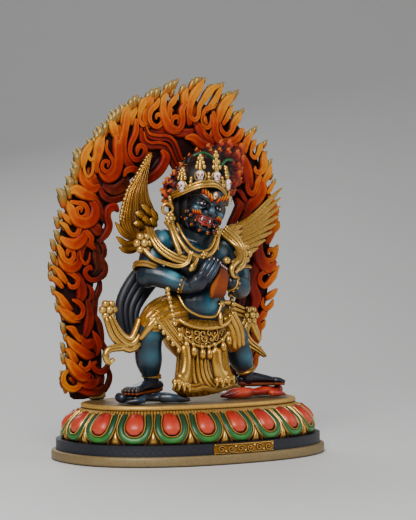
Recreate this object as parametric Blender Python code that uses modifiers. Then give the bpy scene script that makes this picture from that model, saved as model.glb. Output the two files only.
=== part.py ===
"""Vajrakilaya statue: a winged deity striding over two prone figures, on an oval
lotus base, before a leaning horseshoe of carved flames."""

import math

import bmesh
import bpy
import numpy as np
from mathutils import Vector

# Overall sizes, in metres.
STATUE_HEIGHT = 0.125
CLEARANCE = 0.0003

# Lotus base: slab, dark band, petals and rim, from the ground up.
SLAB_WIDTH = 0.095
SLAB_DEPTH = 0.065
SLAB_HEIGHT = 0.0032
SLAB_EDGE = 0.0006
BAND_HEIGHT = 0.0034
BAND_INSET = 0.0014
LOTUS_HEIGHT = 0.0099
PETAL_FOOT_INSET = 0.0044
PETAL_RELIEF = 0.0020
PETAL_BOW = 0.0012
PETAL_COUNT = 20
PETAL_COLUMNS = 4
RIM_HEIGHT = 0.0016
RIM_WIDTH = 0.0774
RIM_DEPTH = 0.0440
RIM_LIP = 0.0005
PLAN_POWER = 2.3
PLAQUE_WIDTH = 0.0224
PLAQUE_MARGIN = 0.0004
PLAQUE_RISE = 0.0005
BASE_TOP = SLAB_HEIGHT + BAND_HEIGHT + LOTUS_HEIGHT + RIM_HEIGHT

# Flame aureole: a band of flames that leans forward over the figure.
AUREOLE_WIDTH = 0.0710
AUREOLE_FOOT_SPREAD = 0.0610
AUREOLE_SHOULDER = 0.0430
AUREOLE_THICKNESS = 0.0046
AUREOLE_FOOT_Y = 0.0150
AUREOLE_SHIFT = -0.0010
AUREOLE_LEAN = 0.085
BAND_HALF_AT_FOOT = 0.0068
BAND_HALF_AT_SIDE = 0.0080
BAND_HALF_AT_TOP = 0.0115
AUREOLE_SWAY = 0.0040
ARCH_POWER = 2.15
CLUSTER_COUNT = 18
REACH_AT_SIDE = 0.0022
REACH_AT_TOP = 0.0052
TONGUE_WIDTH = 0.0044
CURL_RADIUS = 0.0022
KNOB_RADIUS = 0.0012

# A pair of ribs that snakes from the shoulder of the aureole to behind the hair, x and
# height above the lotus.
RIBBON = [(-0.0160, 0.0930), (-0.0150, 0.0885), (-0.0080, 0.0865), (-0.0035, 0.0840), (-0.0010, 0.0795),
          (0.0020, 0.0755)]

# The figure is drawn on a grid this many units tall, from the lotus up.
FIGURE_HEIGHT = 0.0842
GRID_HEIGHT = 84.2
UNIT = FIGURE_HEIGHT / GRID_HEIGHT
PRONE_TOP = 2.9
SOLE = PRONE_TOP + CLEARANCE / UNIT

# Surface grain and face budgets.
FIGURE_GRAIN = 0.00052
AUREOLE_GRAIN = 0.00060
PRONE_GRAIN = 0.00040
FIGURE_FACES = 3620
AUREOLE_FACES = 2980
PRONE_FACES = 240

BUFF = (0.42, 0.31, 0.15)
FLAME = (0.55, 0.07, 0.012)
BLUE = (0.02, 0.075, 0.105)
NIGHT = (0.012, 0.018, 0.035)
RED = (0.36, 0.016, 0.010)


def material(name, colour, roughness, metallic=0.0):
    made = bpy.data.materials.new(name)
    made.use_nodes = True
    shader = made.node_tree.nodes["Principled BSDF"]
    shader.inputs["Base Color"].default_value = (*colour, 1.0)
    shader.inputs["Roughness"].default_value = roughness
    shader.inputs["Metallic"].default_value = metallic
    return made


def mesh_object(name, mesh, collection, surface):
    made = bpy.data.objects.new(name, mesh)
    made.data.materials.append(surface)
    collection.objects.link(made)
    return made


def smooth_path(points, steps):
    """Catmull-Rom curve through the points, with this many steps to a span."""
    points = np.asarray(points, float)
    ends = np.vstack([2 * points[0] - points[1], points, 2 * points[-1] - points[-2]])
    path = []
    for i in range(len(points) - 1):
        a, b, c, d = ends[i : i + 4]
        for t in np.arange(steps) / steps:
            path.append(0.5 * ((2 * b) + (c - a) * t + (2 * a - 5 * b + 4 * c - d) * t * t
                               + (3 * b - a - 3 * c + d) * t**3))
    path.append(points[-1])
    return np.array(path)


def add_grid(body, rings):
    """Adds a closed tube of rings, each ring the same number of points, with flat ends."""
    rows = [[body.verts.new(point) for point in ring] for ring in rings]
    for low, high in zip(rows, rows[1:]):
        for i in range(len(low)):
            j = (i + 1) % len(low)
            body.faces.new((low[i], low[j], high[j], high[i]))
    body.faces.new(list(reversed(rows[0])))
    body.faces.new(rows[-1])


def add_sweep(body, points, widths, depths, facing=(0, -1, 0), sides=10, steps=5):
    """Sweeps an ellipse along a curve. Widths and depths are half sizes at the points,
    and the depth lies along the facing direction."""
    path = smooth_path(points, steps)
    spots = np.linspace(0, len(points) - 1, len(path))
    wide = np.interp(spots, range(len(points)), np.broadcast_to(widths, len(points)))
    deep = np.interp(spots, range(len(points)), np.broadcast_to(depths, len(points)))
    along = np.gradient(path, axis=0)
    side = np.cross(along, np.asarray(facing, float))
    side /= np.linalg.norm(side, axis=1, keepdims=True) + 1e-12
    out = np.cross(side, along)
    out /= np.linalg.norm(out, axis=1, keepdims=True) + 1e-12
    angles = np.linspace(0, 2 * math.pi, sides, endpoint=False)
    turn = np.cos(angles)[None, :, None] * side[:, None] * wide[:, None, None]
    turn = turn + np.sin(angles)[None, :, None] * out[:, None] * deep[:, None, None]
    add_grid(body, path[:, None] + turn)


def add_limb(body, points, radii, **how):
    """Sweeps a circle along a curve."""
    add_sweep(body, points, radii, radii, **how)


def add_ball(body, centre, radii, detail=2):
    """Adds an ellipsoid."""
    made = bmesh.ops.create_icosphere(body, subdivisions=detail, radius=1.0)
    for vert in made["verts"]:
        vert.co = Vector(c + r * s for c, r, s in zip(centre, radii, vert.co))


def fused(name, body, grain, faces, collection, surface):
    """Melts the overlapping shapes of a body into one closed solid of about this many
    faces, and returns its object."""
    bmesh.ops.recalc_face_normals(body, faces=body.faces)
    mesh = bpy.data.meshes.new(name)
    body.to_mesh(mesh)
    body.free()
    made = mesh_object(name, mesh, collection, surface)
    melt = made.modifiers.new("melt", "REMESH")
    melt.mode = "VOXEL"
    melt.voxel_size = grain
    melt.adaptivity = 0.0
    soften = made.modifiers.new("soften", "SMOOTH")
    soften.factor = 0.5
    soften.iterations = 1
    bpy.context.view_layer.update()
    graph = bpy.context.evaluated_depsgraph_get()
    melted = bpy.data.meshes.new_from_object(made.evaluated_get(graph))
    triangles = sum(len(face.vertices) - 2 for face in melted.polygons)
    made.data = melted
    made.modifiers.clear()
    thin = made.modifiers.new("thin", "DECIMATE")
    thin.ratio = faces / triangles
    bpy.context.view_layer.update()
    graph = bpy.context.evaluated_depsgraph_get()
    made.data = bpy.data.meshes.new_from_object(made.evaluated_get(graph))
    made.modifiers.clear()
    made.data.name = name
    return made


def trim(made, height, keep):
    """Cuts a piece off flat at a height, keeping what lies above (1) or below (-1)."""
    body = bmesh.new()
    body.from_mesh(made.data)
    everything = body.verts[:] + body.edges[:] + body.faces[:]
    bmesh.ops.bisect_plane(body, geom=everything, dist=1e-7, plane_co=(0, 0, height),
                           plane_no=(0, 0, keep), clear_inner=True)
    rim = [edge for edge in body.edges if edge.is_boundary]
    bmesh.ops.edgeloop_fill(body, edges=rim)
    bmesh.ops.recalc_face_normals(body, faces=body.faces)
    body.to_mesh(made.data)
    body.free()


# Lotus base

def plan_angles(half_width, half_depth, count):
    """Superellipse parameters at even steps along its outline, from the front middle."""
    fine = np.linspace(0, 2 * math.pi, 4001)
    x, y = plan_outline(half_width, half_depth, fine)
    length = np.concatenate([[0], np.cumsum(np.hypot(np.diff(x), np.diff(y)))])
    return np.interp(np.arange(count) / count * length[-1], length, fine)


def plan_outline(half_width, half_depth, angles):
    """Superellipse |x/a|^n + |y/b|^n = 1, counted from the front middle towards +X."""
    s, c = np.sin(angles), np.cos(angles)
    x = half_width * np.sign(s) * np.abs(s) ** (2 / PLAN_POWER)
    y = -half_depth * np.sign(c) * np.abs(c) ** (2 / PLAN_POWER)
    return x, y


def petal_relief(across, up):
    """How far a petal stands out: round across, fullest a third of the way up."""
    dome = np.clip(1 - (2 * np.abs(across)) ** 2.4, 0, 1) ** 0.5
    swell = np.clip(up / 0.22, 0, 1) ** 0.5 * np.clip((1.12 - up) / 0.5, 0, 1) ** 0.7
    return PETAL_RELIEF * dome * swell


def lotus_base(collection):
    """Stacks outlines from the ground up: slab, band with its plaque, petals, rim."""
    columns = PETAL_COUNT * PETAL_COLUMNS
    half_width, half_depth = SLAB_WIDTH / 2, SLAB_DEPTH / 2
    angles = plan_angles(half_width, half_depth, columns)
    across = (np.arange(columns) / PETAL_COLUMNS + 0.5) % 1.0 - 0.5
    band_foot = SLAB_HEIGHT
    petal_foot = band_foot + BAND_HEIGHT
    rim_foot = petal_foot + LOTUS_HEIGHT
    foot = (half_width - PETAL_FOOT_INSET, half_depth - PETAL_FOOT_INSET)
    rim = (RIM_WIDTH / 2, RIM_DEPTH / 2)

    def ring(wide, deep, height, swell=0.0):
        x, y = plan_outline(wide, deep, angles)
        normal = np.stack([x / wide**2, y / deep**2], axis=1)
        normal /= np.linalg.norm(normal, axis=1, keepdims=True)
        x, y = x + normal[:, 0] * swell, y + normal[:, 1] * swell
        return np.stack([x, y, np.full(columns, height)], axis=1)

    def inset(amount, height, swell=0.0):
        return ring(half_width - amount, half_depth - amount, height, swell)

    x, y = plan_outline(half_width, half_depth, angles)
    plaque = np.where((np.abs(x) <= PLAQUE_WIDTH / 2) & (y < 0), PLAQUE_RISE, 0.0)
    rings = [
        inset(SLAB_EDGE, 0.0),
        inset(0.0, SLAB_EDGE),
        inset(0.0, SLAB_HEIGHT - SLAB_EDGE),
        inset(SLAB_EDGE, SLAB_HEIGHT),
        inset(BAND_INSET, band_foot),
        inset(BAND_INSET, band_foot + PLAQUE_MARGIN, plaque),
        inset(BAND_INSET, petal_foot - PLAQUE_MARGIN, plaque),
        inset(BAND_INSET, petal_foot),
    ]
    for up in (0.0, 0.1, 0.34, 0.62, 1.0):
        bow = math.sin(math.pi * min(up * 1.15, 1.0)) * PETAL_BOW
        wide = foot[0] + (rim[0] - RIM_LIP - foot[0]) * up**1.5 + bow
        deep = foot[1] + (rim[1] - RIM_LIP - foot[1]) * up**1.5 + bow
        rings.append(ring(wide, deep, petal_foot + up * LOTUS_HEIGHT, petal_relief(across, up)))
    rings.append(ring(rim[0], rim[1], rim_foot + RIM_LIP))
    rings.append(ring(rim[0], rim[1], BASE_TOP - RIM_LIP))
    rings.append(ring(rim[0] - RIM_LIP, rim[1] - RIM_LIP, BASE_TOP))

    body = bmesh.new()
    add_grid(body, rings)
    bmesh.ops.recalc_face_normals(body, faces=body.faces)
    mesh = bpy.data.meshes.new("lotus_base")
    body.to_mesh(mesh)
    body.free()
    mesh_object("lotus_base", mesh, collection, material("gilt buff", BUFF, 0.45, 0.4))


# Flame aureole

def arch_line(count):
    """Middle line of the flame band, foot to foot: legs that open upwards, then half an
    ellipse. Rows are x and height above the lotus, at even steps."""
    side = AUREOLE_WIDTH / 2
    spread = AUREOLE_FOOT_SPREAD / 2
    crown = STATUE_HEIGHT - BASE_TOP - BAND_HALF_AT_TOP - REACH_AT_TOP - AUREOLE_SHOULDER
    low = np.linspace(0, 1, 60, endpoint=False)
    leg = np.stack([-spread - (side - spread) * low**1.5,
                    low * AUREOLE_SHOULDER], axis=1)
    turn = np.linspace(math.pi, 0, 161)
    across = np.sign(np.cos(turn)) * np.abs(np.cos(turn)) ** (2 / ARCH_POWER)
    above = np.abs(np.sin(turn)) ** (2 / ARCH_POWER)
    arc = np.stack([side * across, AUREOLE_SHOULDER + crown * above], axis=1)
    line = np.vstack([leg, arc, leg[::-1] * (-1, 1)])
    length = np.concatenate([[0], np.cumsum(np.hypot(*np.diff(line, axis=0).T))])
    steps = np.linspace(0, length[-1], count)
    return np.stack([np.interp(steps, length, line[:, k]) for k in (0, 1)], axis=1)


def line_length(line):
    return float(np.hypot(*np.diff(line, axis=0).T).sum())


def band_half(share):
    """Half width of the flame band at a share of the way from foot to foot."""
    from_end = min(share, 1 - share) * 2
    return float(np.interp(from_end, (0, 0.45, 1),
                           (BAND_HALF_AT_FOOT, BAND_HALF_AT_SIDE, BAND_HALF_AT_TOP)))


def flame_aureole(collection):
    """A flat horseshoe with a row of S-shaped tongues and curls melted onto it."""
    count = 241
    line = arch_line(count)
    along = np.gradient(line, axis=0)
    along /= np.linalg.norm(along, axis=1, keepdims=True)
    outward = np.stack([-along[:, 1], along[:, 0]], axis=1)
    half = AUREOLE_THICKNESS / 2
    length = line_length(line)
    body = bmesh.new()

    def at(share, across, forward=0.0):
        """A point of the band: a share of the way along, and an offset outwards."""
        spot = share * (count - 1)
        places = np.arange(count)
        x, z = (np.interp(spot, places, line[:, k]) for k in (0, 1))
        nx, nz = (np.interp(spot, places, outward[:, k]) for k in (0, 1))
        return np.array([x + nx * across, -forward, z + nz * across])

    shares = np.linspace(0.006, 0.994, 49)
    reach = np.array([band_half(share) for share in shares])
    reach[[0, -1]] *= 0.6
    add_sweep(body, [at(share, 0.0) for share in shares], reach, half * 0.72, sides=12, steps=2)

    for k in range(CLUSTER_COUNT):
        share = (k + 0.5) / CLUSTER_COUNT
        side = 1 if share > 0.5 else -1
        wide = band_half(share)
        crown = max(0.0, 1 - abs(share - 0.5) * 3)
        fat = TONGUE_WIDTH * (1 + 0.35 * crown)
        climbing = -side * min(1.0, abs(share - 0.5) * 5 + 0.15) / length
        beyond = 1 + (REACH_AT_SIDE + (REACH_AT_TOP - REACH_AT_SIDE) * crown) / wide

        def spot(across, climb, forward=0.5):
            """Across from -1 at the inner edge to 1 at the outer, climbing towards the top."""
            place = at(share + climb * climbing, across * wide, forward * half)
            return place + np.array([max(across, 0) * crown * AUREOLE_SWAY, 0, 0])

        paths = (
            [spot(-0.72, -0.0035), spot(-0.36, 0.0006), spot(0.1, 0.0), spot(0.5, 0.0045), spot(0.86, 0.0062),
             spot(beyond, 0.0105)],
            [spot(-0.05, -0.0052), spot(0.42, -0.0036), spot(0.8, -0.0018), spot(beyond - 0.06, 0.0035)],
            [spot(0.2, 0.0060), spot(0.48, 0.0090), spot(0.8, 0.0125)],
        )
        widths = ((0.7, 1.0, 0.8, 0.6, 0.46, 0.2), (0.5, 0.5, 0.42, 0.2), (0.42, 0.38, 0.2))
        for path, width in zip(paths, widths):
            add_sweep(body, path, np.array(width) * fat, half * 0.8, sides=8, steps=3)
            add_ball(body, path[-1], (KNOB_RADIUS, KNOB_RADIUS, KNOB_RADIUS * 1.4), 1)
        hub = spot(-0.12, -0.0052, 0.9)
        turns = np.linspace(-3.6, 1.6, 8)
        curl = [hub + CURL_RADIUS * np.array([math.cos(a) * side, 0, math.sin(a)]) for a in turns]
        add_sweep(body, curl, CURL_RADIUS * 0.42, half * 0.5, sides=6, steps=2)
        if k % 2 and crown < 0.5:
            hook = at(share, -wide * 1.02, half * 0.4)
            add_sweep(body, [at(share, -wide * 0.6), hook, hook + CURL_RADIUS * np.array([-side, 0, 0.9])],
                      np.array([0.5, 0.4, 0.3]) * TONGUE_WIDTH, half * 0.7, sides=8, steps=3)

    for rib in (-0.5, 0.5):
        ribbon = [np.array([x + rib * 0.0028, -half * 0.8, z + rib * 0.0022]) for x, z in RIBBON]
        add_sweep(body, ribbon, 0.0013, half * 0.6, sides=6, steps=3)

    made = fused("flame_aureole", body, AUREOLE_GRAIN, AUREOLE_FACES, collection,
                 material("flame red", FLAME, 0.5))
    trim(made, CLEARANCE, 1)
    top = max(vert.co.z for vert in made.data.vertices)
    stretch = (STATUE_HEIGHT - BASE_TOP - CLEARANCE) / (top - CLEARANCE)
    for vert in made.data.vertices:
        vert.co.z = CLEARANCE + (vert.co.z - CLEARANCE) * stretch
        vert.co.x += AUREOLE_SHIFT
        vert.co.y += AUREOLE_FOOT_Y - AUREOLE_LEAN * vert.co.z
    made.location.z = BASE_TOP


# Figure, on its own grid

def scaled(made):
    """Brings a piece drawn on the figure's grid to its real size on the lotus."""
    for vert in made.data.vertices:
        vert.co *= UNIT
    return made


def add_torso(body):
    add_ball(body, (-1, 1, 29), (9.5, 7, 7.5))
    add_ball(body, (-0.5, -4.4, 32), (10, 8.6, 8.6))
    add_sweep(body, [(-1, 0, 29), (0, -1.5, 38), (0.6, -2, 46), (0.8, -1.2, 53)],
              [9, 9.6, 11.6, 8], [7, 7.4, 8, 5.2])
    for x in (-4.2, 5.2):
        add_ball(body, (x, -6.6, 47.5), (5.6, 3.8, 4.2))
    add_ball(body, (-11.8, -1, 51), (5.2, 5, 5.2))
    add_ball(body, (13, -1, 50.3), (5, 5, 5))
    add_sweep(body, [(0.6, -2, 50), (1.0, -4.2, 57)], 6.3, 6.0)


def add_arms(body):
    add_limb(body, [(-12.5, -1, 51.5), (-16.5, -1.8, 46), (-19, -3, 40.5)], [4.6, 4.5, 3.7])
    add_ball(body, (-19, -3, 40.3), (3.8, 3.8, 3.8))
    add_limb(body, [(-19, -3.2, 40.6), (-14, -8.2, 39.4), (-8.3, -13, 36.8)], [3.8, 3.6, 2.6])
    add_limb(body, [(13.3, -1, 51), (16.3, -2.4, 44), (16.6, -5, 36.5)], [4.6, 4.4, 3.7])
    add_ball(body, (16.5, -5, 36.3), (3.8, 3.8, 3.8))
    add_limb(body, [(16.5, -5.2, 36.4), (12, -9.5, 37.2), (6.5, -13, 38.6)], [3.8, 3.6, 2.6])
    add_ball(body, (-5.6, -14.4, 38.8), (3.6, 2.4, 3.4))
    add_ball(body, (2.6, -14.4, 40.2), (3.4, 2.4, 3.2))
    for lift in (0.0, 1.5, 3.0):
        add_limb(body, [(-5.4 - lift * 0.4, -15.2, 38.6 + lift), (-2.6 - lift * 0.4, -16, 42 + lift * 0.6),
                        (-0.4 - lift * 0.5, -15.8, 44.6 + lift * 0.4)], [1.2, 1.1, 0.8], sides=6)
    add_sweep(body, [(3.8, -14.4, 43), (2.2, -15, 37), (-0.9, -14.6, 31)], [3.1, 2.8, 0.9], [1.5, 1.5, 0.8])


def add_legs(body):
    add_sweep(body, [(-6, 0.5, 28), (-14, -4, 27), (-20.3, -7, 22.6)], [6.8, 6.2, 5], [6.8, 6, 5])
    add_ball(body, (-20.3, -7, 22.6), (5, 4.8, 5))
    add_sweep(body, [(-20.3, -7, 22.6), (-19.6, -5.4, 15), (-17.5, -3.8, 8), (-17.3, -3.6, 4.8)],
              [4.8, 4.5, 2.8, 2.7], [4.8, 4.8, 2.8, 2.8])
    add_sweep(body, [(-13.2, -2.0, 5.2), (-18, -4.2, 5.6), (-23.5, -6.3, 5), (-28.3, -8, 4.6)],
              [2.1, 2.7, 3, 2.2], [1.6, 2, 1.3, 0.9], facing=(0, 0, 1))
    add_sweep(body, [(4, 0.5, 28), (10, -3.4, 25), (14.5, -4.6, 20)], [6.8, 6.2, 4.9], [6.8, 6, 4.9])
    add_ball(body, (14.5, -4.6, 20), (4.9, 4.8, 4.9))
    add_sweep(body, [(14.5, -4.6, 20), (17.4, -3.6, 14), (20.3, -3.4, 8.6), (20.8, -3.4, 6)],
              [4.7, 4.5, 2.8, 2.7], [4.7, 4.8, 2.8, 2.8])
    add_sweep(body, [(18.6, -1.6, 5.6), (22.5, -3.2, 6), (27.5, -5, 5.6), (32.2, -6.6, 5.4)],
              [2.1, 2.7, 3, 2.2], [1.6, 2, 1.3, 0.9], facing=(0, 0, 1))
    for anklet in ((-17.6, -3.9, 8.6), (20.2, -3.4, 9.2)):
        add_ball(body, anklet, (3.4, 3.4, 0.8))


def add_head(body):
    add_ball(body, (1.4, -6.2, 63.6), (7.4, 8.0, 8.2), 3)
    add_ball(body, (0.6, -8.4, 58.6), (6.2, 6.2, 4.6))
    add_ball(body, (0.2, -14.2, 62), (1.7, 1.8, 1.7), 1)
    add_limb(body, [(-4.2, -12.4, 65.6), (-1.4, -13.8, 64.8), (0.6, -14.1, 65.2), (2.6, -13.9, 64.8),
                    (6.2, -12, 66)], 0.9, sides=6)
    add_limb(body, [(-4.4, -12.2, 59.6), (0, -14.6, 60.3), (4.6, -12.6, 59.6)], [0.8, 1.2, 0.8], sides=6)
    for k in range(7):
        a = math.radians(-110 + k * 36)
        curl = (0.8 + 6.4 * math.sin(a), -8.4 - 5.8 * math.cos(a), 57.2 + abs(math.sin(a)) * 2.6)
        add_ball(body, curl, (1.2, 1.2, 1.2), 1)
    for x, y in ((-6.4, -4.6), (9.0, -4.6)):
        add_ball(body, (x, y, 62.4), (1.3, 1.8, 3))
        add_ball(body, (x * 1.18, y, 57.6), (1.6, 1.6, 2.4))


def add_crown(body):
    add_ball(body, (3, -3.6, 73), (9.4, 8, 8.4), 3)
    add_ball(body, (1.4, -5.4, 71.5), (8.8, 9.2, 6))
    middle = np.array([1.4, -5.2, 0])
    for k in range(9):
        lean = math.radians(-104 + k * 24)
        foot = (2 + 5 * math.sin(lean), -3, 74 + 3 * math.cos(lean))
        bend = (4.0 + 9.4 * math.sin(lean), -3.4, 74.4 + 6.4 * math.cos(lean))
        tip = (7.2 + 11.6 * math.sin(lean), -3.2, 75.6 + 9.4 * math.cos(lean))
        add_sweep(body, [foot, bend, tip], [3.2, 2.4, 0.9], [2.6, 2.0, 1.0], sides=8, steps=3)
    band = []
    for a in np.radians(np.linspace(-108, 108, 9)):
        band.append(middle + (8.3 * math.sin(a), -8.7 * math.cos(a), 67.2 + 3.4 * math.cos(a)))
    add_limb(body, band, 1.0, sides=6, steps=3)
    for a in np.radians((-72, -33, 4, 40, 78)):
        across, forward = math.sin(a), math.cos(a)
        skull = middle + (8.9 * across, -9.2 * forward, 69.2 + 3.6 * forward)
        add_ball(body, skull, (1.7, 1.6, 2.1), 1)
        leaf = skull + (0.3 * across, 0.3 * forward, 2.0)
        add_sweep(body, [leaf, leaf + (0, 0.6, 2.4), leaf + (0, 1.2, 4.4 + forward)],
                  [1.5, 1.3, 0.6], [0.8, 0.8, 0.6], sides=6, steps=2)


def add_wings(body):
    """Feathers fan from each shoulder, each a curved blade."""
    for k in range(7):
        f = k / 6
        root = (-9.5 - 3.0 * f, 2.8, 52 - 1.5 * f)
        bend = (-15.0 - 7.0 * f**0.7, 4.2 + 0.3 * (k % 2), 66 - 13 * f)
        tip = (-13.4 - 11.6 * f**0.7, 4.4, 79.8 - 28 * f**1.1)
        add_sweep(body, [root, bend, tip], [2.1, 2.2, 0.8], [1.5, 1.3, 0.9], sides=8, steps=4)
    for k in range(8):
        f = k / 7
        root = (9.5 + 1.0 * f, 1.8, 53.5 - 4 * f)
        bend = (25 - 4 * f, 2.3 + 0.3 * (k % 2), 57.5 - 9 * f)
        tip = (38.7 - 1.5 * f - 13 * f**4, 2.0 - 1.2 * f, 70.6 - 25 * f)
        add_sweep(body, [root, bend, tip], [2.1, 2.2, 0.8], [1.5, 1.3, 0.9], sides=8, steps=4)
    for centre in ((-20.8, -3.6, 51.0), (19.6, -2.4, 46.5)):
        add_ball(body, centre, (1.7, 1.6, 1.7))
        for a in np.radians(np.arange(6) * 60):
            petal = (centre[0] + 2.4 * math.cos(a), centre[1], centre[2] + 2.4 * math.sin(a))
            add_ball(body, petal, (1.4, 1.4, 1.4), 1)


def add_jewels(body):
    add_limb(body, [(-7.6, -4.6, 57), (-6.6, -8.6, 51.5), (-2.6, -11.2, 48.2), (0.8, -11.6, 47.6),
                    (4.4, -11, 48.8), (8.4, -8.4, 52), (9.4, -4.8, 56.5)], 1.0, sides=6)
    add_sweep(body, [(-10, -4.6, 55.8), (-13.4, -5.4, 52.8), (-18.8, -4.6, 50.4)], 1.6, 1.1, sides=8)
    add_sweep(body, [(-19.6, -4.2, 49.6), (-14.6, -7.2, 45.6), (-8.6, -9.6, 43.4), (-5.2, -10.6, 46.2)],
              1.5, 1.1, sides=8)
    add_sweep(body, [(10, -4.6, 55.4), (13.6, -5.4, 52), (18.4, -3.6, 47.6)], 1.6, 1.1, sides=8)
    add_limb(body, [(-21.6, -2.6, 43.2), (-18, -6.6, 42), (-14.2, -4.6, 43.4)], 1.0, sides=6)
    add_limb(body, [(-9.4, -8.2, 31.5), (-5, -11.6, 27.2), (1.4, -12.6, 26), (7.6, -10.6, 28.6)],
             0.9, sides=6)
    add_ball(body, (-9.6, -12.2, 37.2), (1.7, 3.2, 3.1))


def add_cloths(body):
    add_sweep(body, [(-1, 0, 32), (-1, -1.5, 26), (0, -2.5, 20)], [11.6, 12.4, 11], [8.4, 9.4, 8.6], sides=14)
    add_sweep(body, [(-8, -2, 27.6), (-14.4, -5.4, 27.2), (-19.6, -7.6, 25.4)],
              [7.6, 7.0, 5.6], [7.6, 6.8, 5.4])
    add_sweep(body, [(-15, -10.6, 27.4), (-11.4, -11.4, 21.5), (-8, -11.2, 15.4)],
              [3.6, 3.6, 1.6], [1.7, 1.9, 1.4])
    add_sweep(body, [(7.4, -7.2, 27), (10.4, -8.6, 21), (11.8, -7.4, 16)], [4.4, 3.8, 2.0], [3.4, 2.8, 1.8])
    add_sweep(body, [(-1, -9, 25), (-1.8, -9.6, 14), (-2, -8.8, 4.6)],
              [8.8, 8.8, 10.2], [3.8, 4, 4.4], sides=14)
    for k in range(7):
        f = (k - 3) / 3
        round_back = 2.4 * f * f
        add_sweep(body, [(5.2 * f - 1.4, -12.6 + round_back, 21), (6 * f - 2, -13 + round_back, 12),
                         (9 * f - 1.8, -12.8 + round_back, 4.8)], [1.0, 1.2, 1.4], [1.2, 1.4, 1.6], sides=8)
    for k in range(6):
        drop = 3.2 * math.sin(math.pi * (k + 0.7) / 6.4)
        bell = (-10.6 + 3.4 * k, -13.2 + 0.2 * (k - 2.5) ** 2, 19 - drop)
        add_ball(body, bell, (1.4, 1.4, 1.7), 1)
    for x, z in ((-11.6, 6.8), (4.6, 7.2)):
        add_ball(body, (x, -12.6, z), (2.8, 2.4, 1.9))
        for step in (-1.6, 0, 1.6):
            add_ball(body, (x + step, -14.4, z - 0.8), (0.95, 1.2, 1.1), 1)


def add_scarves(body):
    add_sweep(body, [(-15.4, -7.6, 22.8), (-21.6, -8.6, 18.4), (-26.5, -6, 18.6), (-31, -4, 22.4),
                     (-33.6, -3, 28.4)], [2.2, 2.2, 2.3, 2.1, 1.6], [1.3, 1.3, 1.2, 1.2, 1.2])
    add_sweep(body, [(-26, -5.8, 18.4), (-31.4, -5, 18.8), (-35, -5, 16.2), (-34.2, -5.2, 13.6)],
              [1.4, 1.3, 1.2, 0.9], 1.1)
    for a in np.radians(np.arange(6) * 60):
        add_ball(body, (-33.2 + 2.2 * math.cos(a), -2.6, 29.4 + 2.2 * math.sin(a)), (1.4, 1.4, 1.4), 1)
    add_sweep(body, [(11, 1, 30), (18, 1.4, 28.4), (24, 0.4, 26.6)], [2.4, 2.2, 1.8], [1.5, 1.3, 1.2])
    add_sweep(body, [(23.6, 0.6, 26.6), (21.4, 0.6, 20.6), (25.4, 0.2, 17.2), (29.8, 0, 13.4)],
              [1.9, 1.9, 1.6, 0.8], [1.2, 1.2, 1.2, 0.9])
    add_sweep(body, [(23.6, 0.6, 26.6), (26.4, 0.8, 21), (27.6, 0.6, 18.4)], [1.6, 1.6, 0.9], 1.1)
    add_sweep(body, [(-11.5, 3.6, 44), (-17.5, 4.8, 38), (-22, 4.8, 30), (-21.4, 4.4, 22.6),
                     (-19.4, 3.8, 17)], [4.2, 5.0, 4.4, 3.4, 1.4], [2.2, 2.0, 1.8, 1.6, 1.0])


def deity_figure(collection):
    body = bmesh.new()
    for add in (add_torso, add_arms, add_legs, add_head, add_crown, add_wings, add_jewels, add_cloths,
                add_scarves):
        add(body)
    made = fused("deity_figure", body, FIGURE_GRAIN / UNIT, FIGURE_FACES, collection,
                 material("skin blue", BLUE, 0.4))
    trim(made, SOLE, 1)
    scaled(made).location.z = BASE_TOP


def prone_figure(name, head, feet, side, surface, collection):
    """A figure lying face down, head, trunk, folded arms and bent legs, on the grid."""
    head, feet = np.array(head, float), np.array(feet, float)
    along = (feet - head) / np.linalg.norm(feet - head)
    across = np.array([-along[1], along[0], 0]) * side
    length = np.linalg.norm(feet - head)

    def at(share, off, height):
        return head + along * share * length + across * off + np.array([0, 0, height])

    body = bmesh.new()
    add_ball(body, at(0.02, 0, 2.0), (2.3, 2.1, 1.7))
    add_sweep(body, [at(0.12, 0, 1.9), at(0.3, 0, 2.1), at(0.52, 0, 1.9), at(0.62, 0, 1.9)],
              [2.4, 3.0, 2.4, 2.6], 1.7, facing=(0, 0, 1))
    for hand in (-1, 1):
        add_limb(body, [at(0.18, 2.2 * hand, 1.9), at(0.34, 4.2 * hand, 1.6), at(0.12, 4.4 * hand, 1.4)],
                 [1.2, 1.1, 0.9], facing=(0, 0, 1), sides=8)
        add_sweep(body, [at(0.58, 1.3 * hand, 1.9), at(0.78, 2.8 * hand, 1.7), at(1.0, 1.4 * hand, 1.4)],
                  [1.6, 1.4, 0.9], [1.5, 1.3, 0.9], facing=(0, 0, 1), sides=8)
    made = fused(name, body, PRONE_GRAIN / UNIT, PRONE_FACES, collection, surface)
    trim(made, CLEARANCE / UNIT, 1)
    trim(made, PRONE_TOP, -1)
    scaled(made).location.z = BASE_TOP


for old in list(bpy.data.objects):
    bpy.data.objects.remove(old, do_unlink=True)
statue = bpy.data.collections.new("vajrakilaya statue")
bpy.context.scene.collection.children.link(statue)
lotus_base(statue)
flame_aureole(statue)
deity_figure(statue)
prone_figure("trampled_figure_blue", (-30, -4, 0), (-9, -10.4, 0), 1, material("night blue", NIGHT, 0.5),
             statue)
prone_figure("trampled_figure_red", (32.4, -4.2, 0), (9, -6.4, 0), -1, material("red", RED, 0.5), statue)
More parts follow.
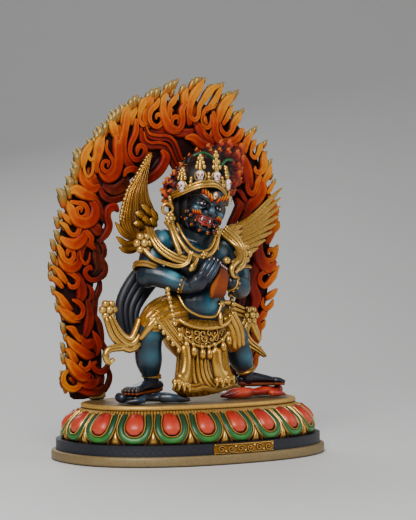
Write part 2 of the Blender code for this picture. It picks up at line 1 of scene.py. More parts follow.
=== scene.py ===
import math
import bpy
import numpy as np
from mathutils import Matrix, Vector


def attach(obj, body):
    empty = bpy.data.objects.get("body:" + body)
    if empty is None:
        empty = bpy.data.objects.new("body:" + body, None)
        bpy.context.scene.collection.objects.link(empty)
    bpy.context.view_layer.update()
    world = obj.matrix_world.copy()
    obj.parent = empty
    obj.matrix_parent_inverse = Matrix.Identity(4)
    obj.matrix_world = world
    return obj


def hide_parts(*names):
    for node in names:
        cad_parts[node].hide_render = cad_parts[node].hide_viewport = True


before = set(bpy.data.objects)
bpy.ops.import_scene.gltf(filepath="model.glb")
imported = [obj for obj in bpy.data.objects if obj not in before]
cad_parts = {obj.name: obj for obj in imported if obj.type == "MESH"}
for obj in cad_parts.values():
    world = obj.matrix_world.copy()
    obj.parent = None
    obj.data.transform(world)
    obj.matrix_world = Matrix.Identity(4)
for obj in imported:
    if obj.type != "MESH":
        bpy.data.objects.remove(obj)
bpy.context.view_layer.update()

mm = 0.001  # every shape below is worked out in millimetres
baseTop = 18.1  # the lotus stands this high, and the figure's own grid starts on it
dice = np.random.default_rng(7)


# Shapes as grids

def smoothPath(points, steps):
    # Catmull-Rom curve: on each span a cubic leaves and arrives along half the chord
    # between the neighbouring points
    points = np.asarray(points, float)
    ends = np.vstack([2 * points[0] - points[1], points, 2 * points[-1] - points[-2]])
    a, b, c, d = (ends[k:len(ends) - 3 + k, None] for k in range(4))
    t = (np.arange(steps) / steps)[None, :, None]
    spans = 0.5 * (2 * b + (c - a) * t + (2 * a - 5 * b + 4 * c - d) * t**2
                   + (3 * b - a - 3 * c + d) * t**3)
    return np.vstack([spans.reshape(-1, points.shape[1]), points[-1:]])


def unit(rows):
    # each row divided by its own length
    return rows / (np.linalg.norm(rows, axis=-1, keepdims=True) + 1e-12)


def shell(rings, low, high, tone=0.0, crest=1.0):
    # rings of points joined row to row, closed round, with a point at each end; the
    # faces are turned outwards where the enclosed volume comes out negative
    rows, cols = rings.shape[:2]
    verts = np.vstack([rings.reshape(-1, 3), low, high])
    index = np.arange(rows * cols).reshape(rows, cols)
    ahead = np.roll(index, -1, axis=1)
    quads = np.stack([index[:-1], index[1:], ahead[1:], ahead[:-1]], -1).reshape(-1, 4)
    first = np.full(cols, rows * cols)
    tris = np.vstack([np.stack([index[0], ahead[0], first], -1),
                      np.stack([ahead[-1], index[-1], first + 1], -1)])
    a, b, c = (verts[np.vstack([quads[:, :3], quads[:, [0, 2, 3]], tris])[:, k]] for k in range(3))
    if np.einsum("ij,ij->", a - verts[0], np.cross(b - verts[0], c - verts[0])) < 0:
        quads, tris = quads[:, ::-1], tris[:, ::-1]
    tone = np.broadcast_to(np.asarray(tone, float).reshape(-1, 1), (rows, cols))
    crest = np.broadcast_to(np.asarray(crest, float).reshape(1, -1), (rows, cols))
    return {"verts": verts, "quads": quads, "tris": tris,
            "tone": np.concatenate([tone.ravel(), [tone[0, 0], tone[-1, 0]]]),
            "crest": np.concatenate([crest.ravel(), [crest[0].mean(), crest[-1].mean()]])}


def strand(points, wide, deep=None, facing=(0, -1, 0), sides=12, steps=5, square=1.0, tone=0.0,
           channel=0.0):
    # an oval carried along a curve: place = curve + side * wide * cos + out * deep * sin,
    # where out leans towards the facing direction, with rounded ends. A channel presses its
    # front in by channel * exp(-(cos / 0.42)^2), which leaves a rim on each side
    points = np.asarray(points, float)
    count = len(points)
    deep = wide if deep is None else deep
    columns = [np.broadcast_to(np.asarray(v, float), count) for v in (wide, deep, tone)]
    faces = np.broadcast_to(np.asarray(facing, float), (count, 3))
    path = smoothPath(np.column_stack([points, *columns, faces]), steps)
    spots, w, d, shade, face = (path[:, :3], np.maximum(path[:, 3], 0.04), np.maximum(path[:, 4], 0.04),
            path[:, 5], path[:, 6:])
    ahead = unit(np.gradient(spots, axis=0))
    reach = np.minimum(w, d)[[0, -1]]
    grow = np.array([-0.62, 0.62])[:, None] * reach[:, None] * ahead[[0, -1]]
    low, high = spots[0] + 1.35 * grow[0], spots[-1] + 1.35 * grow[1]
    spots = np.vstack([spots[0] + grow[0], spots, spots[-1] + grow[1]])
    w = np.concatenate([[w[0] * 0.72], w, [w[-1] * 0.72]])
    d = np.concatenate([[d[0] * 0.72], d, [d[-1] * 0.72]])
    ahead = ahead[np.r_[0, 0:len(ahead), -1]]
    face = face[np.r_[0, 0:len(face), -1]]
    shade = shade[np.r_[0, 0:len(shade), -1]]
    side = unit(np.cross(ahead, face))
    out = np.cross(side, ahead)
    turn = np.arange(sides) / sides * 2 * math.pi
    c, s = (np.sign(v) * np.abs(v) ** square for v in (np.cos(turn), np.sin(turn)))
    dip = channel * np.exp(-(np.cos(turn) / 0.42) ** 2) * (s > 0)
    s = s * (1 - dip)
    rings = (spots[:, None] + side[:, None] * (w[:, None] * c)[..., None]
             + out[:, None] * (d[:, None] * s)[..., None])
    # the crest mark: high on a strand's faces, low on its flanks and in its channel; the paints lay a painted
    # highlight where it is high and painted shade where it is low
    lit = np.abs(np.sin(turn)) * (1 - 1.1 * dip) * (1.25 if channel else 1.0)
    return shell(rings, low, high, shade, np.minimum(lit, 1.0))


def ball(centre, radii, rows=7, cols=12, tone=0.0, turn=None):
    # an egg: centre + radii * (sin v cos u, sin v sin u, cos v)
    v = np.linspace(0, math.pi, rows + 2)[1:-1, None]
    u = np.arange(cols)[None] / cols * 2 * math.pi
    grid = np.stack([np.sin(v) * np.cos(u), np.sin(v) * np.sin(u), np.cos(v) + 0 * u], -1)
    grid = np.vstack([grid.reshape(-1, 3), (0, 0, 1), (0, 0, -1)]) * np.broadcast_to(radii, 3)
    if turn is not None:
        grid = grid @ np.asarray(turn)
    grid = grid + np.asarray(centre, float)
    return shell(grid[:-2].reshape(rows, cols, 3), grid[-2], grid[-1], tone)


def moved(part, change):
    # the same shell with its points put through a function
    return {**part, "verts": change(part["verts"])}


def meshFrom(name, shells, lift=0.0):
    # joins shells into one mesh, in metres, keeping each point's tone and crest
    starts = np.cumsum([0] + [len(s["verts"]) for s in shells[:-1]])
    verts = (np.vstack([s["verts"] for s in shells]) + (0, 0, lift)) * mm
    quads = np.vstack([s["quads"] + k for s, k in zip(shells, starts)])
    tris = np.vstack([s["tris"] + k for s, k in zip(shells, starts)])
    mesh = bpy.data.meshes.new(name)
    mesh.from_pydata(verts, [], quads.tolist() + tris.tolist())
    for mark in ("tone", "crest"):
        writeMark(mesh, mark, np.concatenate([s[mark] for s in shells]))
    return mesh


def writeMark(mesh, mark, values):
    # one value per vertex, kept under a name that the paints read
    layer = mesh.attributes.get(mark) or mesh.attributes.new(mark, "FLOAT", "POINT")
    layer.data.foreach_set("value", np.asarray(values, np.float32))


def spotsOf(mesh, lift=0.0):
    # the mesh's points in millimetres
    spots = np.empty(len(mesh.vertices) * 3, np.float32)
    mesh.vertices.foreach_get("co", spots)
    return spots.reshape(-1, 3).astype(float) / mm - (0, 0, lift)


def melted(name, shells, grain, soften=2, lift=0.0):
    # overlapping shells melted into one skin by a voxel remesh, then smoothed
    rough = bpy.data.objects.new(name, meshFrom(name, shells, lift))
    bpy.context.scene.collection.objects.link(rough)
    melt = rough.modifiers.new("melt", "REMESH")
    melt.mode, melt.voxel_size, melt.adaptivity = "VOXEL", grain * mm, 0.0
    ease = rough.modifiers.new("ease", "SMOOTH")
    ease.factor, ease.iterations = 0.5, soften
    bpy.context.view_layer.update()
    graph = bpy.context.evaluated_depsgraph_get()
    mesh = bpy.data.meshes.new_from_object(rough.evaluated_get(graph))
    bpy.data.objects.remove(rough, do_unlink=True)
    writeMark(mesh, "tone", np.zeros(len(mesh.vertices)))
    writeMark(mesh, "crest", np.ones(len(mesh.vertices)))
    return mesh


def finishPiece(name, mesh, finish, nodes=(), sharp=180):
    # one finished object: its paint, its body and the solids that it stands for
    mesh.polygons.foreach_set("use_smooth", np.ones(len(mesh.polygons), bool))
    mesh.set_sharp_from_angle(angle=math.radians(sharp))
    mesh.materials.clear()
    mesh.materials.append(finish)
    mesh.name = name
    piece = bpy.data.objects.new(name, mesh)
    bpy.context.scene.collection.objects.link(piece)
    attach(piece, "root")
    if nodes:
        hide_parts(*nodes)


def makePiece(name, shells, finish, nodes=(), lift=baseTop, sharp=180):
    # the same from shells; the figure's are drawn from the lotus top, so they are lifted by it
    finishPiece(name, meshFrom(name, shells, lift), finish, nodes, sharp)


# Paints

def paint(name, stops, shadeAndWashColour, rough=0.45, metal=0.0, reach=1.0, shadeAndWashAmount=0.9, speck=0.12,
          footShadeAndWash=0.5, coat=0, high=None, highlightAmount=0, footReach=0.55, gloss=0.5, clearAt=0.85):
    # brushed paint: a colour ramp over the piece's own tone, broken up by two noises, with painted shade,
    # over the statue's own dark wash, in the hollows and at the foot of each strand, and a painted highlight
    # on the dry-brushed crest
    made = bpy.data.materials.new(name)
    made.use_nodes = True
    tree = made.node_tree
    shader = tree.nodes["Principled BSDF"]

    def add(kind, values=(), **given):
        # a new node, with its settings and the values of its sockets
        new = tree.nodes.new(kind)
        for key, value in given.items():
            setattr(new, key, value)
        for key, value in dict(values).items():
            new.inputs[key].default_value = value
        return new

    def link(a, b):
        # socket a feeds socket b
        tree.links.new(a, b)

    def mapped(source, low, high, toLow, toHigh):
        # toLow + (source - low) / (high - low) * (toHigh - toLow), held between the two
        new = add("ShaderNodeMapRange", {1: low, 2: high, 3: toLow, 4: toHigh})
        link(source, new.inputs[0])
        return new.outputs[0]

    def reckoned(kind, a, b):
        # a and b, numbers or sockets, put through one kind of sum
        new = add("ShaderNodeMath", operation=kind)
        for socket, value in zip(new.inputs, (a, b)):
            if isinstance(value, (int, float)):
                socket.default_value = value
            else:
                link(value, socket)
        return new.outputs[0]

    def mixed(kind, amount, a, b):
        # a * (1 - amount) + amount * (a and b blended in one kind)
        new = add("ShaderNodeMix", data_type="RGBA", blend_type=kind)
        for socket, value in zip((new.inputs[0], new.inputs[6], new.inputs[7]), (amount, a, b)):
            if isinstance(value, (int, float)):
                socket.default_value = value
            elif isinstance(value, tuple):
                socket.default_value = (*value, 1.0)
            else:
                link(value, socket)
        return new.outputs[2]

    place = add("ShaderNodeTexCoord").outputs["Object"]
    cloudy = add("ShaderNodeTexNoise", {"Scale": 300.0, "Detail": 4.0, "Roughness": 0.6})
    grainy = add("ShaderNodeTexNoise", {"Scale": 2600.0, "Detail": 3.0, "Roughness": 0.65})
    link(place, cloudy.inputs["Vector"])
    link(place, grainy.inputs["Vector"])
    tone = add("ShaderNodeAttribute", attribute_name="tone").outputs["Fac"]
    crest = add("ShaderNodeAttribute", attribute_name="crest").outputs["Fac"]
    ramp = add("ShaderNodeValToRGB")
    marks = ramp.color_ramp.elements
    while len(marks) < len(stops):
        marks.new(0.5)
    for mark, (spot, colour) in zip(marks, stops):
        mark.position, mark.color = spot, (*colour, 1.0)
    link(reckoned("ADD", tone, mapped(cloudy.outputs["Fac"], 0.3, 0.7, -0.07, 0.07)), ramp.inputs["Fac"])
    value = mapped(grainy.outputs["Fac"], 0.3, 0.7, 1 - speck, 1 + speck)
    grey = add("ShaderNodeCombineColor")
    for k in range(3):
        link(value, grey.inputs[k])
    colour = mixed("MULTIPLY", 1.0, ramp.outputs["Color"], grey.outputs[0])
    if high:
        # a painted highlight on the dry-brushed crest shows where crest and tone are high, in patches
        lit = reckoned("MULTIPLY", mapped(crest, 0.8, 1.0, 0.0, highlightAmount),
                       mapped(tone, 0.3, 0.8, 0.1, 1))
        patchy = mapped(cloudy.outputs["Fac"], 0.35, 0.6, 0.4, 1)
        colour = mixed("MIX", reckoned("MULTIPLY", lit, patchy), colour, high)
    # painted shade: ambient occlusion darkens the hollows and the places where parts touch, and a low crest
    # darkens each strand's foot; both mix the colour towards the wash colour
    hollow = add("ShaderNodeAmbientOcclusion", {"Distance": reach * mm}, samples=8)
    hollowShade = mapped(hollow.outputs["AO"], clearAt - 0.5, clearAt, 1.0, 0.0)
    foot = mapped(crest, 0.05, footReach, footShadeAndWash, 0.0)
    amount = reckoned("MULTIPLY", reckoned("MAXIMUM", hollowShade, foot), shadeAndWashAmount)
    colour = mixed("MIX", amount, colour, shadeAndWashColour)
    link(colour, shader.inputs["Base Color"])
    rougher = reckoned("ADD", mapped(grainy.outputs["Fac"], 0.3, 0.7, rough - 0.07, rough + 0.07),
                    reckoned("MULTIPLY", amount, 0.25))
    link(rougher, shader.inputs["Roughness"])
    if metal:
        link(reckoned("MULTIPLY", reckoned("SUBTRACT", 1.0, amount), metal), shader.inputs["Metallic"])
    shader.inputs["Specular IOR Level"].default_value = gloss
    shader.inputs["Coat Weight"].default_value = coat
    shader.inputs["Coat Roughness"].default_value = 0.3
    bump = add("ShaderNodeBump", {"Strength": 0.35, "Distance": 0.00006})
    link(grainy.outputs["Fac"], bump.inputs["Height"])
    link(bump.outputs["Normal"], shader.inputs["Normal"])
    return made


# the blue black paint's wash colour, laid in its hollows as painted shade
nightShadeAndWash = (0.008, 0.004, 0.004)
# the flames: near black painted shade in their grooves and hollows, and an orange painted highlight over the
# dry-brushing on their rims
flamePaint = paint("flame red to orange", ((0, (0.030, 0.0015, 0.001)), (0.12, (0.13, 0.003, 0.002)),
        (0.3, (0.25, 0.004, 0.001)), (0.5, (0.36, 0.012, 0.001)), (0.7, (0.50, 0.062, 0.001)),
        (1, (0.64, 0.25, 0.002))), (0.006, 0.002, 0.001), rough=0.5, reach=1.8, footShadeAndWash=1, shadeAndWashAmount=0.97,
        high=(0.78, 0.28, 0.003), highlightAmount=0.7, footReach=0.75, gloss=0.2, clearAt=0.97)
tipPaint = paint("old gold tips", ((0, (0.52, 0.085, 0.004)), (0.35, (0.40, 0.17, 0.018)),
                 (0.6, (0.30, 0.18, 0.040)), (1, (0.42, 0.29, 0.10))), (0.02, 0.008, 0.002), rough=0.4,
                 metal=0.5, reach=1.2, footShadeAndWash=0.9, gloss=0.4)
# bright gold: a painted highlight on its crests stands in for the sheen of gilt, and its hollows take painted
# shade
goldPaint = paint("bright gold", ((0, (0.30, 0.105, 0.007)), (0.5, (0.60, 0.27, 0.024)),
        (1, (0.86, 0.50, 0.10))), (0.022, 0.006, 0.001), rough=0.27, metal=0.85, reach=1.6, footShadeAndWash=0.95,
        shadeAndWashAmount=0.96, high=(1, 0.68, 0.20), highlightAmount=0.6, clearAt=0.95)
buffPaint = paint("worn buff gold", ((0, (0.14, 0.092, 0.036)), (0.5, (0.26, 0.18, 0.075)),
        (1, (0.38, 0.28, 0.125))), (0.045, 0.024, 0.009), rough=0.5, metal=0.3, speck=0.3, reach=1.2)
skinPaint = paint("blue skin", ((0, (0.002, 0.005, 0.010)), (0.3, (0.004, 0.020, 0.034)),
                  (0.65, (0.010, 0.080, 0.120)), (1, (0.07, 0.27, 0.34))), (0.001, 0.003, 0.006),
                  rough=0.36, reach=2, shadeAndWashAmount=0.85, speck=0.06, coat=0.25)
nightPaint = paint("blue black", ((0, (0.003, 0.004, 0.007)), (0.5, (0.008, 0.012, 0.024)),
        (1, (0.035, 0.085, 0.14))), nightShadeAndWash, rough=0.33, reach=1, coat=0.3, speck=0.1)
coralPaint = paint("coral red", ((0, (0.16, 0.003, 0.002)), (0.5, (0.46, 0.017, 0.006)),
        (1, (0.74, 0.085, 0.022))), (0.03, 0.004, 0.003), rough=0.4, reach=1, coat=0.2, footShadeAndWash=0.5)
greenPaint = paint("leaf green", ((0, (0.002, 0.026, 0.012)), (0.5, (0.004, 0.085, 0.022)),
        (1, (0.035, 0.23, 0.025))), (0.002, 0.010, 0.006), rough=0.4, reach=1, coat=0.2, footShadeAndWash=0.6)
bonePaint = paint("painted bone", ((0, (0.50, 0.01, 0.01)), (0.3, (0.70, 0.62, 0.56)),
        (1, (0.86, 0.80, 0.76))), (0.20, 0.02, 0.015), rough=0.4, reach=0.5, coat=0.3, footShadeAndWash=0)
bandPaint = paint("charcoal band", ((0, (0.004, 0.005, 0.008)), (0.6, (0.010, 0.012, 0.020)),
        (1, (0.045, 0.052, 0.075))), (0.003, 0.003, 0.004), rough=0.5, reach=0.6, speck=0.3)
bladePaint = paint("burnt orange", ((0, (0.06, 0.010, 0.001)), (0.6, (0.22, 0.036, 0.003)),
        (1, (0.40, 0.10, 0.006))), (0.012, 0.003, 0.001), rough=0.5, reach=1.4, gloss=0.3)
print("paints mixed")


# The lotus base, from the ground up
base = {
    "slab": (95, 65), "slabHeight": 3.2, "slabEdge": 0.6, "bandHeight": 3.4, "bandInset": 1.4,
    "lotusHeight": 9.9, "footInset": 4.4, "bow": 1.2, "rim": (77.4, 44), "rimLip": 0.5,
    "power": 2.3, "petals": 20, "petalTop": 0.91,
}


def planOutline(halfWide, halfDeep, angles):
    # |x/a|^n + |y/b|^n = 1, counted from the front middle towards +X
    s, c = np.sin(angles), np.cos(angles)
    power = 2 / base["power"]
    return np.stack([halfWide * np.sign(s) * np.abs(s) ** power,
                     -halfDeep * np.sign(c) * np.abs(c) ** power], -1)


def planAngles(halfWide, halfDeep, shares):
    # the outline's own angles at shares of its length, from the front middle
    fine = np.linspace(0, 2 * math.pi, 8001)
    outline = planOutline(halfWide, halfDeep, fine)
    length = np.concatenate([[0], np.cumsum(np.hypot(*np.diff(outline, axis=0).T))])
    return np.interp(np.asarray(shares) % 1.0 * length[-1], length, fine)


def planRing(halfWide, halfDeep, shares, height, out=0.0):
    # points of an outline, pushed out along its normal (x/a)^(n-1) / a, (y/b)^(n-1) / b
    angles = planAngles(base["slab"][0] / 2, base["slab"][1] / 2, shares)
    halves = np.stack(np.broadcast_arrays(halfWide, halfDeep, angles)[:2], -1).astype(float)
    flat = planOutline(1.0, 1.0, angles) * halves
    normal = unit(np.sign(flat) * np.abs(flat / halves) ** (base["power"] - 1) / halves)
    flat = flat + normal * np.asarray(out)[..., None]
    return np.concatenate([flat, (np.zeros(flat.shape[:-1]) + height)[..., None]], -1), normal


def lotusWall(turn, up, out=0.0):
    # the wall behind the petals, half = foot + (rim - foot) * up^1.5 + bow * sin(1.15 pi up):
    # turn counts petals from the front middle, up runs 0 to 1
    up = np.asarray(up, float)
    bow = np.sin(math.pi * np.clip(up * 1.15, 0, 1)) * base["bow"]
    lean = np.clip(up, 0, 1) ** 1.5
    halves = []
    for k in (0, 1):
        foot = base["slab"][k] / 2 - base["footInset"]
        rim = base["rim"][k] / 2 - base["rimLip"]
        halves.append(foot + (rim - foot) * lean + bow)
    return planRing(*halves, np.asarray(turn) / base["petals"], petalFoot + up * base["lotusHeight"], out)


def stack(rows, columns, tone=0.5):
    # outlines stacked from the ground up, each row (half width, half depth, height)
    shares = np.arange(columns) / columns
    rings = np.stack([planRing(wide, deep, shares, height)[0] for wide, deep, height in rows])
    return shell(rings, rings[0].mean(axis=0), rings[-1].mean(axis=0), tone)


slabHalf = (base["slab"][0] / 2, base["slab"][1] / 2)
bandHalf = (slabHalf[0] - base["bandInset"], slabHalf[1] - base["bandInset"])
rimHalf = (base["rim"][0] / 2, base["rim"][1] / 2)
slabTop = base["slabHeight"]
petalFoot = slabTop + base["bandHeight"]
rimFoot = petalFoot + base["lotusHeight"]

bevel = base["slabEdge"]
slabRows = ((bevel, 0), (bevel * 0.3, bevel * 0.3), (0, bevel), (0, slabTop * 0.5), (0, slabTop - bevel),
            (bevel * 0.3, slabTop - bevel * 0.3), (bevel, slabTop), (base["bandInset"] + 1.5, slabTop))
slab = stack([(slabHalf[0] - inset, slabHalf[1] - inset, height) for inset, height in slabRows], 240)
makePiece("base_slab", [slab], buffPaint, ("lotus_base",), lift=0.0, sharp=50)

# the dark band, with a shallow weave pressed in: two slanting waves multiplied
band = {"columns": 440, "rows": 15, "waves": 57, "slant": 5, "depth": 0.13}
shares = np.arange(band["columns"]) / band["columns"]
bandRows = np.linspace(0, 1, band["rows"])
around, slanted = shares[None] * 2 * math.pi * band["waves"], band["slant"] * bandRows[:, None]
carve = -np.abs(band["depth"] * np.sin(around + slanted) * np.sin(around - slanted + 1))
carve = carve * np.sin(math.pi * bandRows[:, None])
bandRings = np.stack([planRing(*bandHalf, shares, slabTop + t * base["bandHeight"], carve[k])[0] for k,
        t in enumerate(bandRows)])
bandShell = shell(bandRings, bandRings[0].mean(axis=0), bandRings[-1].mean(axis=0))
bandShell["tone"][:-2] = np.clip(0.35 + 3 * np.abs(carve), 0, 1).ravel()
makePiece("base_band", [bandShell], bandPaint, lift=0.0, sharp=50)

# the wall, and a fringe of upright ribs |sin|^0.7 under the rim: rows of (up, out, how far they stand out)
wallColumns = base["petals"] * 16
wallRings = np.stack([lotusWall(np.arange(wallColumns) / 16, np.full(wallColumns,
        up))[0] for up in np.linspace(0, 1, 16)])
wall = shell(wallRings, wallRings[0].mean(axis=0), wallRings[-1].mean(axis=0), 0.25)
ribs = {"count": 200, "steps": 8, "rows": ((0.86, 0, 0), (0.87, 0.1, 0.6), (0.92, 0.1, 0.6),
        (0.985, -0.05, 0.55), (1.02, 0, 0))}
ribTurns = np.arange(ribs["count"] * ribs["steps"]) / ribs["steps"]
ridge = np.abs(np.sin(ribTurns * math.pi)) ** 0.7
ribRings = np.stack([lotusWall(ribTurns * base["petals"] / ribs["count"], np.full(len(ridge), up),
        out + deep * ridge)[0] for up, out, deep in ribs["rows"]])
fringe = shell(ribRings, (0, 0, rimFoot - 2), (0, 0, rimFoot + 0.2), 0.85)
# the ribs' ridges take the gold's painted highlight, and the gaps between them painted shade
fringe["crest"][:-2] = np.tile(np.clip(1.5 * ridge - 0.5, 0, 1), len(ribs["rows"]))
makePiece("lotus_wall", [wall, fringe], goldPaint, lift=0.0, sharp=50)

# the rim's profile, (outwards, upwards) from its own edge and foot; its first rows, round the lip, are
# painted brighter
lip = base["rimLip"]
rimProfile = ((-0.5, 0.1), (0, 0.35), (0.12, 0.75), (0.05, 1.15), (-lip * 0.4, 1.5), (-lip, 1.6),
              (-2, 1.6), (-2.3, 1.5), (-8, 1.5))
# the lip's first rows get full tone, the brightest gold of the rim
brightRows, rimColumns = 6, 280
rimShell = stack([(rimHalf[0] + out - 0.12, rimHalf[1] + out - 0.12, rimFoot + up) for out, up in rimProfile],
                 rimColumns, 0.6)
rimShell["tone"][:rimColumns * brightRows] = 1.0
rimPaint = paint("gold rim bright at its lip", ((0, (0.12, 0.080, 0.032)), (0.6, (0.22, 0.150, 0.060)),
        (0.8, (0.40, 0.23, 0.045)), (1, (0.66, 0.38, 0.08))), (0.045, 0.024, 0.009), rough=0.42, metal=0.5,
        speck=0.3, reach=1)
makePiece("lotus_rim", [rimShell], rimPaint, lift=0.0, sharp=50)


def onWall(k, points, wide, deep, out=0.0, tone=0.5, **how):
    # a strand laid on the wall: points are (across, up) in petals and shares of the height
    points = np.asarray(points, float)
    up = np.interp(points[:, 1], (0, 0.6, 1), (0, 0.6, base["petalTop"]))
    spots, normal = lotusWall(k + points[:, 0], up, np.broadcast_to(out, len(points)))
    facing = np.column_stack([normal, np.full(len(normal), 0.35)])
    return strand(spots, wide, deep, facing, tone=tone, **how)


def mirroredPath(half):
    # a U: the half path given from its middle outwards, then read back on the other side
    half = np.asarray(half, float)
    return np.vstack([(half * (-1, 1))[::-1], half[1:]])


# a petal's strands as (across, up): a red lobe with a crease near its top, a green ring, a gold
# line inside it and one outside, and a sepal between two petals
petal = {
    "lobe": [(0, 0.36), (0, 0.46), (0, 0.62), (0, 0.80), (0, 0.97)],
    "crease": [(0, 0.72), (0, 0.86), (0, 0.99)],
    "ring": [(0, 0.13), (0.17, 0.165), (0.31, 0.30), (0.375, 0.52), (0.37, 0.75), (0.345, 0.97)],
    "ringWide": [0.7, 0.85, 0.95, 1.05, 1.1, 1.15], "ringDeep": [0.5, 0.7, 0.8, 0.9, 1, 1.05],
    "ringTone": [0.1, 0.2, 0.4, 0.6, 0.8, 0.9],
    "innerLine": [(0, 0.245), (0.13, 0.275), (0.235, 0.39), (0.275, 0.57), (0.262, 0.78), (0.235, 0.98)],
    "outerLine": [(0, 0.025), (0.2, 0.055), (0.37, 0.21), (0.462, 0.47), (0.472, 0.73), (0.45, 0.98)],
    "sepal": [(0, 0), (0, 0.12), (0, 0.28), (0, 0.46)],
    "sepalSide": [(0.24, 0.01), (0.19, 0.11), (0.08, 0.30)],
}
ringWide, ringDeep, ringTone = (petal[key] + petal[key][-2::-1] for key in ("ringWide", "ringDeep",
        "ringTone"))
lobes, greens, lines, sepals = [], [], [], []
for k in range(base["petals"]):
    lobes += [onWall(k, petal["lobe"], [1.9, 2.75, 2.85, 2.45, 2], [0.9, 1.5, 1.6, 1.3, 0.7], 0.4,
                     [0.75, 0.75, 0.6, 0.45, 0.2], sides=20, steps=5),
              onWall(k, petal["crease"], [0.2, 0.42, 0.5], [0.3, 0.5, 0.4], 1.75, [0.5, 0.2, 0.1], sides=10,
                     steps=3)]
    greens.append(onWall(k, mirroredPath(petal["ring"]), ringWide, ringDeep, 0.35, ringTone, sides=14,
            steps=4))
    lines += [onWall(k, mirroredPath(petal["innerLine"]), 0.27, 0.5, 0.75, 0.85, sides=8, steps=4),
              onWall(k, mirroredPath(petal["outerLine"]), 0.30, 0.7, 0.5, 0.8, sides=8, steps=4)]
    sepals.append(onWall(k + 0.5, petal["sepal"], [1.5, 1.15, 0.6, 0.12], [0.7, 0.9, 0.7, 0.3], 0.3,
            [0.35, 0.6, 0.8, 0.6], sides=12, steps=4))
    for side in (-1, 1):
        sepals.append(onWall(k + 0.5, np.array(petal["sepalSide"]) * (side, 1), [0.55, 0.4, 0.1], 0.45, 0.3,
                0.45, sides=8, steps=3))
makePiece("petal_lobes", lobes, coralPaint, lift=0.0, sharp=50)
makePiece("petal_borders", greens, greenPaint, lift=0.0, sharp=50)
makePiece("petal_outlines", lines + sepals, goldPaint, lift=0.0, sharp=50)


def onBand(x, z, out):
    # a point of the band's front, out millimetres proud of it: y = -b (1 - |x/a|^n)^(1/n)
    x = np.asarray(x, float)
    y = -bandHalf[1] * (1 - np.abs(x / bandHalf[0]) ** base["power"]) ** (1 / base["power"])
    return np.stack([x, y - out, slabTop + z * base["bandHeight"]], -1)


# the plaque: a plain plate between two lines, with a row of spirals that open up and down in turn
plaque = {"wide": 22.4, "spirals": 6, "step": 3.6, "turns": (0.4, 8.2), "radii": (1.25, 0.22)}
plateX = np.linspace(-plaque["wide"] / 2, plaque["wide"] / 2, 25)
scrolls = [strand(onBand(plateX, np.full(25, 0.5), 0), 1.45, 0.3, sides=12, steps=1, square=0.4, tone=0.15)]
for z in (0.1, 0.9):
    scrolls.append(strand(onBand(plateX, np.full(25, z), 0.25), 0.22, 0.25, sides=8, steps=1, tone=0.7))
for k in range(plaque["spirals"]):
    middle, side = (k - (plaque["spirals"] - 1) / 2) * plaque["step"], (-1 if k % 2 else 1)
    turns = np.linspace(*plaque["turns"], 15)
    radius = np.interp(turns, plaque["turns"], plaque["radii"])
    x = middle + radius * np.cos(turns) * 1.1
    z = 0.5 + side * radius * np.sin(turns) / base["bandHeight"] * 0.9
    scrolls.append(strand(onBand(x, z, 0.42), 0.2, 0.26, sides=6, steps=2, tone=0.75))
    bead = onBand(middle + plaque["step"] / 2, 0.5 - side * 0.22, 0.4)
    scrolls.append(ball(bead, (0.42, 0.35, 0.42), 5, 8, 0.9))
makePiece("base_plaque", scrolls, goldPaint, lift=0.0, sharp=50)
print("lotus base made")
